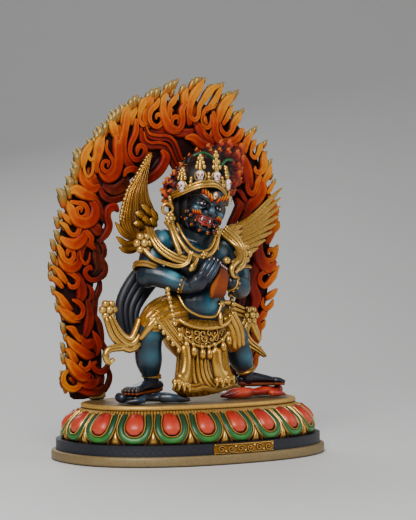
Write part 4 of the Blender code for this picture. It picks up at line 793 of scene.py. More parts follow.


# the bed: tone 0 and a low crest paint it near black, painted shade over the dark wash in the grooves between
# the strands
fire = [strand(np.stack([bedLine[:, 0], 0.6 + 0 * bedLine[:, 0], bedLine[:, 1]], -1), bedLine[:, 2], 1.5,
               sides=20, steps=1, tone=0.0)]
fire[0]["crest"][:] = 0.3
for heatFirst, heatLast, forward, *points in licks:
    fire.append(lick(points, (heatFirst, heatLast), forward))

# the back of the band is plainer: three wavy ribs, and a curl at every ninth point of the bed
for share in flames["backRibs"]:
    wave = 0.16 * np.sin(np.arange(len(bedLine)) * 0.55 + 3 * share)
    off = bedLine[:, 2] * (share + wave)
    rib = np.stack([bedLine[:, 0] + bedOut[:, 0] * off, flames["backY"] + 0 * off,
                    bedLine[:, 1] + bedOut[:, 1] * off], -1)[3:-3:3]
    fire.append(strand(rib, 0.9, 0.5, (0, 1, 0), sides=10, steps=4, tone=0.35))
for k in range(8, len(bedLine) - 8, flames["curlEvery"]):
    turns = np.linspace(0, 4.6, 9) + 0.6 * k
    radius = np.linspace(0.34, 0.06, 9) * bedLine[k, 2]
    curl = np.stack([bedLine[k, 0] + radius * np.cos(turns), flames["backY"] + 0.25 + 0 * turns,
                     bedLine[k, 1] + radius * np.sin(turns)], -1)
    fire.append(strand(curl, 0.75, 0.5, (0, 1, 0), sides=10, steps=3, tone=0.5))

tips = []
for x, z, radius in knobs:
    # a hooked tip that points up, and to the viewer's right near the crown
    up = unit(np.array((np.interp(x, (-45, -20, 5, 40), (-0.3, 0.15, 0.55, 0.45)), 0, 1)))
    spot = np.array((x, -0.9, z))
    hook = np.array((-0.8 if x < -20 else 0.75, 0.0, 0.3)) * radius
    tips.append(strand([spot - up * radius * 2.2, spot - up * radius * 0.7, spot + up * radius * 0.4,
                        spot + up * radius * 0.9 + hook], np.array((0.75, 1, 0.9, 0.35)) * radius,
                       np.array((0.75, 1, 0.85, 0.35)) * radius, sides=12, steps=4,
                       tone=(0, 0.45, 0.8, 1)))
for x, wide in flames["footBlocks"]:
    tips.append(strand([(x, -0.3, 1), (x, -0.3, 2.6)], [wide, wide * 0.9], 1.4, sides=20, square=0.5,
                       tone=0.9))


def raised(parts):
    # stands the flat band up and leans it forwards: y falls by lean * height
    def lean(spots):
        # y + foot - lean * z, with x and z held inside the arch's reach and height
        x, y, z = spots.T
        z = np.clip(z, 0.0, archTop - 0.02)
        x = np.clip(x, -flames["reach"], flames["reach"])
        return np.stack([x, y + flames["footY"] - flames["lean"] * z, z + baseTop], -1)
    return [moved(part, lean) for part in parts]


makePiece("flames", raised(fire), flamePaint, ("flame_aureole",), lift=0.0)
makePiece("flame_tips", raised(tips), tipPaint, lift=0.0)
print("flames made")


# Ornaments that the figure repeats. Its own grid is in millimetres, with heights from the lotus top

def gem(centre, radius, tone=0.7, rows=5, cols=8):
    # a ball with the same radius all round
    return ball(centre, (radius,) * 3, rows, cols, tone)


def pleats(path, wide, deep, count, facing=(0, -1, 0), tone=0.6, spread=0.72, **how):
    # a folded band: strands side by side along one path, every other one a little higher,
    # over a flat strand that backs them, painted a little darker as shade in the gaps between them
    path = np.asarray(path, float)
    face = np.asarray(facing, float)
    deep = np.asarray(deep, float)
    wide = np.broadcast_to(np.asarray(wide, float), len(path))
    side = unit(np.cross(np.gradient(path, axis=0), face))
    # the backing strand's tone is 0.2 lower: painted shade between the pleats
    parts = [strand(path - 0.25 * deep.mean() * face, wide * (spread + 0.2), deep * 0.75, facing,
                    tone=np.maximum(np.asarray(tone, float) - 0.2, 0), **how)]
    for k in range(count):
        off = (k - (count - 1) / 2) / max(1, (count - 1) / 2)
        parts.append(strand(path + side * (off * spread * wide)[:, None] + 0.25 * (k % 2) * face,
                            wide * 1.25 / count, deep, facing, tone=tone, **how))
    return parts


def drape(path, wide, deep, folds, fold, facing=(0, -1, 0), sides=72, steps=8, tone=0.5, twist=0.0):
    # cloth round a limb: an oval carried along a path, its radius rippled by
    # 1 + fold * cos(folds * angle + twist * along), more so towards its end
    piece = strand(path, wide, deep, facing, sides, steps, tone=tone)
    rings = piece["verts"][:-2].reshape(-1, sides, 3)
    middle = rings.mean(axis=1, keepdims=True)
    turn = np.arange(sides) / sides * 2 * math.pi
    along = np.linspace(0, 1, len(rings))[:, None]
    grow = np.interp(along, (0, 0.5, 1), (0.35, 0.8, 1))
    wave = np.cos(folds * turn[None] + twist * along)
    rings = middle + (rings - middle) * (1 + fold * grow * wave)[..., None]
    piece["verts"][:-2] = rings.reshape(-1, 3)
    # the crest mark follows the folds, so their ridges take the painted highlight and their troughs painted
    # shade
    piece["crest"][:-2] = (0.55 + 0.45 * wave).ravel()
    return piece


def circle(centre, axis, radius, count):
    # points in a ring round an axis: centre + radius * (side cos a + up sin a)
    axis = unit(np.asarray(axis, float))
    side = unit(np.cross(axis, (0, 0, 1.0)))
    up = np.cross(side, axis)
    a = (np.arange(count) / count * 2 * math.pi)[:, None]
    return np.asarray(centre, float) + radius * (side * np.cos(a) + up * np.sin(a))


def rosette(centre, radius, bead, count=6):
    # a ball in the middle of a ring of balls, facing forwards
    centre = np.asarray(centre, float)
    return [gem(centre - (0, bead * 0.5, 0), bead * 1.1, 0.85, 6, 10),
            *(gem(spot, bead, 0.7, 6, 9) for spot in circle(centre, (0, -1, 0), radius, count))]


def ringOf(centre, axis, radius, thick, count=13, tone=0.7):
    # a bangle: a strand along a circle round an axis
    axis = unit(np.asarray(axis, float))
    side = unit(np.cross(axis, (0.1, 1.0, 0.2)))
    up = np.cross(axis, side)
    a = np.linspace(0, 2 * math.pi, count)[:, None]
    path = np.asarray(centre, float) + radius * (side * np.cos(a) + up * np.sin(a))
    return strand(path, thick, thick, axis, sides=8, steps=3, tone=tone)


def glowOf(spots, lights):
    # the strongest of strength * exp(-distance^2 / reach^2); a light is x, y, z, reach, strength
    lights = np.asarray(lights, float)
    far = np.linalg.norm(spots[:, None] - lights[None, :, :3], axis=2)
    return (lights[None, :, 4] * np.exp(-(far / lights[None, :, 3]) ** 2)).max(axis=1)


# The body, melted into one skin
body = {
    "grain": 0.42, "soften": 3, "tone": 0.18,
    "balls": (((-1, 1, 29), (9.2, 7, 7.5), 7, 12), ((-0.5, -4.6, 31.6), (9.7, 8.7, 8.8), 12, 20),
              ((-11.8, -1, 51), (5, 4.9, 5), 10, 16), ((13, -1, 50.3), (4.9, 4.9, 4.9), 10, 16),
              ((-4.4, -6.4, 47.3), (5.5, 3.8, 4.3), 10, 16), ((5.4, -6.4, 47.3), (5.5, 3.8, 4.3), 10, 16),
              ((-19, -3, 40.2), (3.5, 3.5, 3.5), 5, 8), ((16.6, -5, 36.4), (3.5, 3.5, 3.5), 5, 8),
              ((-20.3, -7.2, 22.4), (4.5, 4.4, 4.7), 10, 16), ((14.6, -4.9, 19.8), (4.5, 4.5, 4.6), 10, 16)),
    "torso": ([(-1, 0, 29), (0, -1.5, 38), (0.6, -2, 46), (0.8, -1.2, 52.5)], [9, 9.4, 11.2, 8],
              [7, 7.4, 8, 5.2], 20),
    "neck": ([(0.6, -2, 50), (1, -4.2, 57.5)], 5.9, 5.7, 18),
    # each arm and leg: upper, then lower
    "limbs": (([(-12.2, -1, 51.5), (-15.6, -1.8, 47.5), (-17.6, -2.6, 43.6), (-19, -3, 40.6)],
               [4.4, 4.3, 3.9, 3.4], None, 16), ([(-19, -3.2, 41.2), (-16.2, -6, 40.6), (-12.4, -9.6, 38.8),
            (-8.8, -12.8, 36.9)], [3.4, 3.7, 3.1, 2.2], None, 16),
              ([(13.3, -1, 51), (15.6, -2, 46), (16.6, -3.6, 41), (16.6, -5, 36.6)], [4.4, 4.4, 4, 3.4],
               None, 16), ([(16.5, -5.2, 36.4), (13.8, -8.2, 36.8), (10, -11, 37.6), (6.7, -13, 38.6)],
            [3.4, 3.7, 3.1, 2.2], None, 16), ([(-6, 0.5, 28), (-14, -4, 27), (-20, -6.8, 23)], [6.6, 6, 4.8],
            None, 18), ([(-20.3, -7, 22.4), (-19.9, -5.6, 17.5), (-19.1, -4.8, 13), (-17.7, -3.9, 8),
            (-17.4, -3.7, 5)], [4.3, 4.2, 4.1, 2.6, 2.3], [4.3, 4.6, 4.6, 2.7, 2.4], 18),
              ([(4, 0.5, 28), (10, -3.4, 25), (14.5, -4.6, 20)], [6.6, 6, 4.8], None, 18),
              ([(14.5, -4.7, 19.8), (16.2, -4, 15.6), (17.9, -3.6, 12.6), (20.2, -3.4, 8.4),
                (20.8, -3.4, 6)], [4.3, 4.3, 4, 2.5, 2.3], [4.3, 4.5, 4.5, 2.6, 2.4], 18)),
    # airbrushed lights, each x, y, z, reach and strength, and dark hands and feet, each x, y, z, reach
    "lights": ((-13, -5, 54, 3.6, 0.72), (-4.6, -10.2, 48, 3.6, 0.28), (5.4, -10.2, 48, 3.6, 0.28),
               (0.6, -13.2, 31.5, 4.4, 0.62), (1, -9.6, 54, 3.6, 0.22), (-18, -6.4, 47, 3.6, 0.6),
               (-13.6, -10.6, 40.8, 3.2, 0.85), (17.8, -7.2, 43, 3.6, 0.45), (14, -11.2, 38.4, 3, 0.5),
               (-21.6, -11, 22, 3.6, 0.48), (-20.8, -9.4, 15, 3.6, 0.46), (15, -9.2, 20.2, 3.2, 0.36),
               (17.6, -8, 13.6, 3.8, 0.56), (-14, -9.4, 27, 4, 0.4), (13.2, -5, 51.5, 3.8, 0.5)),
    "darks": ((-7, -13.4, 38.4, 4), (5, -13.4, 38.4, 4), (-17.4, -4, 4.6, 4.2), (20.8, -3.4, 5.6, 4.2)),
}
skin = [ball(centre, radii, rows, cols) for centre, radii, rows, cols in body["balls"]]
for path, wide, deep, sides in (body["torso"], body["neck"], *body["limbs"]):
    skin.append(strand(path, wide, deep, sides=sides))
for bend in np.radians((-25, 0, 25)):
    # three short folds in the neck
    lean = math.sin(bend)
    skin.append(strand([(1 + 5.04 * lean, -8.2, 55.8), (1 + 5.6 * lean, -9, 54.6)], 0.8, 0.7))
skinMesh = melted("body", skin, body["grain"], body["soften"], baseTop)
skinSpots = spotsOf(skinMesh, baseTop)
darks = np.array(body["darks"])
close = np.linalg.norm(skinSpots[:, None] - darks[None, :, :3], axis=2) / darks[None, :, 3]
dimmed = 1 - 0.85 * np.exp(-close**2).max(axis=1)
writeMark(skinMesh, "tone", (body["tone"] + glowOf(skinSpots, body["lights"])) * dimmed)
finishPiece("body", skinMesh, skinPaint, ("deity_figure",))

# Hands folded upright, and the feet
hand = {
    "palm": [(-8.6, -13, 37.2), (-6.4, -14.4, 38.6), (-4.4, -15, 40.6)],
    "fingers": (((-3.4, -15.6, 39), (-1.4, -16.3, 42), (0.5, -16.2, 44.8)),
                ((-4.4, -16, 40), (-2.5, -16.7, 43), (-0.7, -16.4, 45.7)),
                ((-5.4, -15.9, 40.8), (-3.8, -16.5, 43.8), (-2, -16.2, 46.1)),
                ((-6.3, -15.5, 41.4), (-5, -16, 44), (-3.6, -15.9, 45.8))),
    "thumb": [(-7.4, -15, 39.4), (-6.6, -16, 41.4), (-5, -16.4, 42.6)],
    "otherTips": ((1.4, -15.6, 44.1), (0.66, 0, -0.4)),  # the first one, and the step to the next
}
hands = [strand(hand["palm"], [2.3, 2.9, 2.4], [1.8, 1.9, 1.5], sides=16, tone=(0.3, 0.45, 0.5)),
         ball((2.8, -14, 40), (2.8, 1.7, 3), 8, 12, 0.3),
         strand(hand["thumb"], [0.95, 0.85, 0.6], tone=0.55, sides=9)]
nails = []
for path in hand["fingers"]:
    hands.append(strand(path, [0.85, 0.8, 0.5], tone=(0.35, 0.75, 0.5), sides=10))
    nails.append(np.array(path[-1]))
for k in range(4):
    # the other hand lies behind the blade, and its fingertips bend over the blade's upper edge
    other = np.array(hand["otherTips"][0]) + k * np.array(hand["otherTips"][1])
    hands.append(strand([other + (1.4, 1.8, -3.6), other + (0.7, 0.9, -1), other], [0.75, 0.7, 0.5],
                        tone=(0.3, 0.6, 0.4), sides=9))
    nails.append(other)
fingernails = [ball(spot + (0.1, -0.45, 0.1), (0.26, 0.16, 0.36), 5, 8, 0.2) for spot in nails]

foot = {
    "heelsAndToes": (((-13.4, -2.2, 5), (-28.4, -8.1, 4.6)), ((18.4, -1.8, 5.6), (32.3, -6.6, 5.5))),
    "shares": (0.02, 0.25, 0.55, 0.82), "wide": (1.7, 2.3, 2.7, 2.6), "rise": (0.3, 0.9, 0.7, 0.1),
    "toeStep": 1.15, "soleDrop": -1.25,
}
feet, soles, toenails = [], [], []
for heel, toes in foot["heelsAndToes"]:
    heel = np.array(heel)
    way = np.array(toes) - heel
    across = unit(np.array((-way[1], way[0], 0.0)))
    spine = heel + np.outer(foot["shares"], way)
    wide = np.array(foot["wide"])
    arch = np.outer(foot["rise"], (0, 0, 1))
    feet.append(strand(spine + arch, wide, [1.5, 1.9, 1.3, 0.8], (0, 0, 1), sides=14,
                       tone=(0.3, 0.35, 0.5, 0.3)))
    soles.append(strand(spine + arch * np.array(((1,), (0,), (0,), (1,))) + (0, 0, foot["soleDrop"]),
                        wide * 0.96, [0.9, 0.9, 0.8, 0.75], (0, 0, 1), sides=14, tone=0.5))
    for toe in range(5):
        off = (toe - 2) * foot["toeStep"]
        start = heel + way * (0.80 + 0.015 * (2 - abs(toe - 2))) + across * off
        end = heel + way * (1.0 + 0.015 * (2 - abs(toe - 1.5))) + across * off * 1.15 + (0, 0, -0.4)
        feet.append(strand([start, (start + end) / 2 + (0, 0, 0.35), end], [0.75, 0.72, 0.6],
                           tone=(0.3, 0.5, 0.4), sides=8, steps=3))
        toenails.append(ball(end + way * 0.018 + (0, 0, 0.35), (0.34, 0.34, 0.2), 4, 6, 0.9))
        soles.append(strand([start + (0, 0, -1.1), end + (0, 0, -0.8)], [0.8, 0.62], 0.45, (0, 0, 1), sides=8,
                            steps=3, tone=0.6))
makePiece("hands", hands, nightPaint)
makePiece("feet", feet, nightPaint)
makePiece("soles", soles, bladePaint)
makePiece("fingernails", fingernails, bonePaint)
makePiece("toenails", toenails, bladePaint)
print("body made")

# The dagger's blade, broad at its lower end, and the fin on its left
dagger = {
    "blade": [(2.4, -14.8, 43.4), (2.3, -15.2, 40.6), (1.4, -15.4, 37.7), (0.9, -15.2, 35.4),
              (0.8, -14.8, 33.9)],
    "bladeWide": [1.3, 2.2, 2.5, 2.8, 2.5], "bladeDeep": [0.9, 1.3, 1.4, 1.2, 0.6],
    "fin": [(1.2, -15.7, 42), (-0.7, -16.2, 39.2), (-1.7, -15.8, 36.6), (-2, -15.2, 34)],
    "finWide": [0.25, 0.65, 0.95, 0.45],
}
makePiece("dagger_blade", [
    strand(dagger["blade"], dagger["bladeWide"], dagger["bladeDeep"], sides=8, steps=6, square=0.6,
           tone=(0.2, 0.4, 0.6, 0.5, 0.3)),
    strand(dagger["fin"], dagger["finWide"], 0.6, sides=8, square=0.7, tone=(0.5, 0.8, 0.9, 0.7)),
], bladePaint, sharp=40)

# The skirt: gathered cloth over the hips and thighs, and a pleated apron with a hem
skirt = {
    "hips": [(-0.8, 0.4, 28.6), (-0.8, -1, 24.8), (-0.6, -3.4, 20)],
    "thigh": [(-6.5, -1.4, 28.2), (-12, -4.4, 27.6), (-17, -6.8, 26.6), (-20.2, -7.9, 25.6)],
    "otherThigh": [(7.4, -6.4, 27), (10.4, -8.2, 22), (12.2, -7.6, 17.4)],
    "apron": [(-1.2, -8.8, 23.4), (-1.6, -9.4, 18), (-1.6, -9.6, 11), (-1, -9.2, 5.2)],
    "folds": 9,
    "hem": [(-12, -9.6, 5.6), (-10.6, -12.4, 4.6), (-7.2, -14, 4.1), (-4.3, -14.4, 4.7), (-0.8, -14.4, 4),
            (3.6, -13.9, 4.2), (7.6, -12.4, 4.9), (10.2, -9.8, 6.2)],
    "flap": [(-21.8, -11, 27.4), (-19.6, -12, 25.6), (-17.4, -12.6, 22.6), (-14.4, -13, 19.2),
             (-10.6, -13.2, 15.4)],
    "flapBeads": 8,
}
cloth = [drape(skirt["hips"], [10.6, 11.4, 10.4], [7.4, 8.4, 8.4], 26, 0.022),
         drape(skirt["thigh"], [7.2, 6.8, 5.9, 4.7], [7.2, 6.8, 5.9, 4.6], 13, 0.04, twist=2),
         drape(skirt["otherThigh"], [4.6, 4.2, 2.6], [3.6, 3.2, 2.2], 9, 0.06, twist=1.5),
         drape(skirt["apron"], [9, 8.8, 9.4, 11], [4.2, 4.2, 4.2, 4.4], 22, 0.085, twist=0.6, sides=144,
               steps=10)]
for f in np.linspace(-1, 1, skirt["folds"]):
    # folds that fan out towards the hem and curve back at the sides
    cloth.append(strand([(5.0 * f - 3.4, -13.4 + 2.2 * f * f, 18),
            (5.0 * f - 3.8, -14.1 + 2.4 * f * f, 11.5), (6.0 * f - 2.6, -14.2 + 2.4 * f * f, 7.5),
            (8.2 * f + 0.6, -13.9 + 2.8 * f * f, 4.6)], [0.5, 0.62, 0.75, 0.85], [0.7, 0.9, 1.1, 1],
            sides=10, steps=6, tone=(0.45, 0.6, 0.7, 0.6)))
hem, flap = np.array(skirt["hem"]), np.array(skirt["flap"])
cloth.append(strand(hem, 1, 0.9, (0, 0, 1), sides=10, tone=0.7))
cloth.append(strand(hem + (0, 0.5, 1.3), 0.6, 0.7, (0, 0, 1), sides=8, tone=0.5))
# a flap falls from the knee to the middle, beaded along its edge
cloth += pleats(flap + (1.2, 0.6, 1.1), 1.9, 0.8, 4, tone=0.55)
cloth.append(strand(flap, [0.6, 0.65, 0.65, 0.6, 0.5], 0.6, sides=10, tone=0.8))
for f in np.linspace(0, 1, skirt["flapBeads"]):
    spot = np.array([np.interp(f, np.linspace(0, 1, 5), flap[:, j]) for j in range(3)])
    cloth.append(ball(spot + (-0.5, -0.3, -0.6), (0.75, 0.6, 0.95), 5, 8, 0.75))
cloth.append(strand([(-20.4, -11.4, 27), (-22.8, -11, 24.4), (-24.6, -9, 21)], [1.3, 1.2, 0.8], 0.8,
                    tone=0.7))
cloth += pleats([(8.2, -10.6, 27.5), (11.2, -10.6, 22.6), (12.6, -9.4, 17.6)], 2.4, 0.9, 3, tone=0.6)
makePiece("skirt", cloth, goldPaint)

# Carved swirls, bells and an animal skin on the skirt
trim = {
    "swirlRows": ((22.2, -8.6, 7), (20.3, -8, 7), (18.4, -6.8, 5)),  # height, left end, count
    "swirlStep": 2.35, "swirlSize": 1.2, "middle": -1.8, "bulge": 0.04,
    "bells": ((-12.7, -12.4, 22), (-10.6, -13, 19.2), (-8.2, -13.8, 17.3), (-5.1, -14.2, 16.4),
              (-2.6, -14.4, 16.3), (-0.2, -14.3, 17), (3.2, -13.8, 18.4), (6, -12.8, 20.4)),
    "chain": [(-13.6, -11.6, 24.4), (-10.8, -13, 21), (-8.2, -13.8, 19), (-5, -14.2, 18),
              (-0.4, -14.3, 18.4), (3.2, -13.8, 20), (6.4, -12.6, 22.4)],
    # the skin's two legs: middle line, fatness and the tips of the toes
    "legs": ((((-10.7, -13.4, 18), (-10.8, -14.2, 13.6), (-11.6, -14.6, 9.8), (-12.8, -14.8, 7.8)), 1.2,
              ((-16.6, 6.9), (-15, 6), (-13.2, 5.4), (-11.4, 5.2))),
             (((0.2, -14.6, 16.4), (0.4, -15, 12.8), (1.2, -15, 9.6), (2.4, -14.8, 8)), 1.45,
              ((-0.4, 6.6), (1.6, 6), (3.8, 6.2), (5.6, 7.2)))),
}
trims = [strand(trim["chain"], 0.45, 0.45, sides=8, tone=0.7)]
for row, (z, left, count) in enumerate(trim["swirlRows"]):
    for k in range(count):
        turns = np.linspace(0, 5.6, 11) + dice.uniform(0, 6)
        radius = np.linspace(trim["swirlSize"], 0.22, 11)
        x = left + trim["swirlStep"] * k + radius * np.cos(turns) * (1 if (row + k) % 2 else -1)
        y = -13.6 + trim["bulge"] * (x - trim["middle"]) ** 2
        trims.append(strand(np.stack([x, y, z + radius * np.sin(turns)], -1), 0.3, 0.46, sides=8, steps=2,
                            tone=0.75))
for x, y, z in trim["bells"]:
    trims += [gem((x, y - 0.3, z + 1.5), 0.7, 0.8),
              strand([(x, y - 0.4, z + 0.8), (x, y - 0.6, z - 0.2), (x, y - 0.6, z - 1.5)], [0.5, 0.95, 1.05],
                     tone=(0.5, 0.8, 0.6), sides=10, steps=3),
              ball((x, y - 0.7, z - 2), (0.42, 0.42, 0.5), 5, 8, 0.8)]
for leg, fat, toes in trim["legs"]:
    trims.append(strand(leg, np.array([1.5, 1.4, 1.6, 2.2]) * fat, np.array([0.9, 1, 1.1, 1.3]) * fat,
            sides=14, tone=(0.5, 0.6, 0.7, 0.7)))
    pawX, pawY, pawZ = leg[-1]
    for x, z in toes:
        root = np.array((0.5 * (x + pawX), pawY - 0.9, 0.5 * (z + pawZ)))
        tip = np.array((x, pawY - 1.1, z))
        trims += [strand([root, tip + (0, -0.2, 0.4)], np.array([0.8, 0.85]) * fat, tone=0.7, sides=9,
                steps=4), strand([tip + (0, -0.5, 0.2), tip + (0.1 * (x - pawX), -0.8, -0.7),
                tip + (0.15 * (x - pawX), -0.5, -1.7)], [0.5, 0.4, 0.12], tone=0.95, sides=8, steps=3)]
makePiece("skirt_trim", trims, goldPaint)

# Jewels: necklaces and cords as (middle line, width, depth, sides, tone), and folded bands as
# (middle line, width, depth, folds, tone)
jewel = {
    "cords": (
        ([(-10.9, -6, 57.4), (-10.7, -9.6, 52.4), (-8.4, -11.9, 48.4), (-4.4, -13, 46.8), (-0.2, -12.8, 48),
          (3.1, -11.2, 51.8), (5.2, -8.6, 56)], 0.75, 0.7, 10, 0.75),
        ([(-9.4, -6.6, 57.4), (-9.1, -9.8, 53.4), (-7, -11.6, 50), (-4.2, -12.6, 48.6), (-0.8, -12.4, 49.4),
          (1.9, -11.2, 52.4), (3.6, -9, 55.6)], 0.5, 0.5, 10, 0.7),
        ([(12.2, -11.4, 46), (9, -14.2, 45.4), (6, -15.2, 43.2), (6.6, -15.2, 40.6), (9.6, -13.8, 40.2)],
         [0.7, 0.8, 0.9, 0.7, 0.4], None, 8, 0.8),
        ([(13.4, -10.6, 44.4), (10.2, -13.6, 43.4), (7.8, -14.8, 41.8)], 0.65, None, 8, 0.8),
        ([(-12.4, -5, 32.4), (-12, -9.6, 27.6), (-9.4, -12.2, 25.2), (-4.6, -13.7, 24), (1.4, -13.7, 24.1),
          (7, -12, 25.8), (10.4, -8.4, 29.8)], 0.75, 0.8, 10, 0.75),
        ([(-10.8, -9.2, 34.6), (-9.4, -11.6, 30.4), (-5, -13.3, 27.8), (0.6, -13.7, 27.6),
          (2.8, -13.4, 30.4), (3.4, -13, 32.4)], 0.42, 0.42, 8, 0.8),
        ([(2.2, -14.2, 28.6), (2, -14.6, 26.6), (2.2, -14.6, 24.8)], [0.5, 0.8, 0.5], None, 8, 0.7),
        ([(-5.4, -12.8, 47), (-6.6, -13.2, 45), (-7.8, -13.4, 43.4), (-8.6, -13, 42.4)],
         [0.4, 0.7, 1.2, 0.7], [0.4, 0.5, 0.6, 0.4], 12, 0.9)),
    "bands": (
        ([(-16.9, -1.5, 55.8), (-17.7, -5, 52.9), (-16.4, -7.4, 49.6), (-13.4, -9.8, 47),
          (-9.6, -11.6, 45.6)], 1.35, 0.75, 3, 0.75),
        ([(-21.4, -4.8, 49.6), (-19.6, -7.2, 46.6), (-15.9, -9, 44.8), (-11.9, -10.8, 43.8),
          (-9.2, -11.9, 45), (-8, -12.3, 48.4)], 0.75, 0.7, 2, 0.75),
        ([(-12.3, -4.4, 58), (-12.3, -7.4, 55.6), (-12.2, -9.6, 51.8), (-11.4, -11.2, 47.8)], 0.9, 0.6, 2,
         0.8),
        ([(10, -4.8, 55.6), (12.6, -6.2, 53), (14.2, -8.4, 49.6), (12, -11.8, 45.4), (8.2, -13.4, 43.6)],
         2.2, 0.8, 4, 0.75)),
    # centre, radius of the ring, radius of a bead, beads in the ring
    "rosettes": (((-3.6, -13.6, 47.4), 0.9, 0.6, 5), ((-21.2, -4.6, 51.2), 2.3, 1.35, 6),
                 ((16, -7.4, 48), 2.3, 1.3, 6), ((-6.2, -11.8, 46.6), 1, 0.7, 5),
                 ((3.4, -13.2, 31.6), 0.8, 0.5, 5)),
    # centre, axis, radius, thickness
    "bangles": (((-18.6, -2.8, 42.6), (0.4, 0.2, 1), 4.35, 0.62),
                ((-18.4, -2.8, 43.6), (0.4, 0.2, 1), 4.35, 0.5),
                ((16.6, -3.2, 42.4), (-0.1, 0.3, 1), 4.4, 0.6), ((-17.6, -3.9, 8.2), (0.1, 0, 1), 2.9, 0.45),
                ((-17.6, -3.9, 9), (0.1, 0, 1), 2.9, 0.35), ((20.1, -3.4, 8.8), (-0.35, 0, 1), 2.95, 0.45),
                ((19.8, -3.4, 9.6), (-0.35, 0, 1), 2.95, 0.35)),
    # beaded bracelets: centre, axis, radius
    "bracelets": (((-10.2, -11.4, 37.6), (0.75, -0.62, -0.35), 2.35),
                  ((7.6, -12.4, 38.4), (-0.85, -0.5, 0.3), 2.5)),
    "braceletBeads": 10, "stringBeads": 9,
}
jewels = [ball((4.4, -14.6, 45.6), (1.4, 1.2, 1.2), 6, 9, 0.8)]
for path, wide, deep, sides, tone in jewel["cords"]:
    jewels.append(strand(path, wide, deep, sides=sides, tone=tone))
for path, wide, deep, count, tone in jewel["bands"]:
    jewels += pleats(path, wide, deep, count, tone=tone)
for centre, radius, bead, count in jewel["rosettes"]:
    jewels += rosette(centre, radius, bead, count)
for centre, axis, radius, thick in jewel["bangles"]:
    jewels.append(ringOf(centre, axis, radius, thick))
for centre, axis, radius in jewel["bracelets"]:
    jewels.append(ringOf(centre, axis, radius, 0.36))
    below = np.array(centre) - 0.9 * unit(np.array(axis))
    jewels += [gem(spot, 0.48) for spot in circle(below, axis, radius + 0.1, jewel["braceletBeads"])]
for k, f in enumerate(np.linspace(0, 1, jewel["stringBeads"])):
    # two strings of beads, one down each side of the skirt
    jewels.append(gem((-15.6 + 1.6 * f, -10.4 - 1.6 * f, 36.4 - 11 * f), 0.7 if k % 2 else 0.95, 0.8))
    jewels.append(gem((10.6 + 0.9 * math.sin(f * 3), -8.0 - 1.6 * f, 34.5 - 13 * f), 0.85 if k % 2 else 1.1,
            0.75))
makePiece("jewels", jewels, goldPaint)

# Scarves, folded bands with a rosette at each knot, and the hide that hangs behind the arm
scarf = {
    "bands": (
        ([(-22.4, -6.6, 26), (-24.2, -6.6, 21.6), (-27.2, -6.2, 19), (-31, -4.6, 22), (-33.4, -3.4, 27.6)],
         [2.4, 2.5, 2.5, 2.2, 1.6], 1.15, 3, (0.5, 0.7, 0.8, 0.7, 0.6)),
        ([(-25, -6.6, 18.2), (-29.6, -5.6, 18.2), (-34, -5.2, 17.6), (-35.6, -5.2, 15.6),
          (-34.6, -5.4, 13.4), (-33, -5.6, 14.4)], [1.5, 1.4, 1.2, 1.1, 0.9, 0.6], 0.9, 2, 0.75),
        ([(11, 0.6, 30), (17, 1.2, 29.6), (21.6, 0.6, 28.2)], [2.4, 2.2, 1.6], 1.1, 3, 0.6),
        ([(23.6, 0.2, 26.6), (21.6, 0.2, 21.6), (23.6, 0, 18), (27, -0.4, 15.6), (29.8, -0.6, 13.2)],
         [1.9, 1.8, 1.5, 1.1, 0.5], 1, 3, 0.75),
        ([(24, 0.2, 26.6), (26.6, 0.6, 22), (28.2, 0.6, 18.6)], [1.6, 1.5, 0.9], 0.9, 2, 0.7)),
    "rosettes": (((-33.2, -3, 30), 2.1, 1.3), ((24.1, -0.4, 27.2), 2, 1.2)),
    "hide": [(-10.5, 3.2, 44), (-16.5, 4.2, 38.5), (-21.5, 4.2, 31), (-21.6, 3.8, 23.6), (-19.8, 3.4, 17.4)],
    "hideBack": [(-10.5, 4.4, 44), (-16.5, 5.4, 38), (-21.5, 5.2, 30), (-21, 4.8, 22.6)],
}
scarves = [part for path, wide, deep, count, tone in scarf["bands"]
           for part in pleats(path, wide, deep, count, tone=tone)]
scarves += [part for spot, radius, bead in scarf["rosettes"] for part in rosette(spot, radius, bead)]
makePiece("scarves", scarves, goldPaint)
hide = pleats(scarf["hide"], [4.2, 5, 4.6, 3.4, 1.2], 1.6, 4, tone=(0.5, 0.6, 0.6, 0.5, 0.3))
hide.append(strand(scarf["hideBack"], [4, 4.8, 4.4, 3], 1.2, sides=14, tone=0.3))
makePiece("hide", hide, bandPaint)
print("cloths and jewels made")


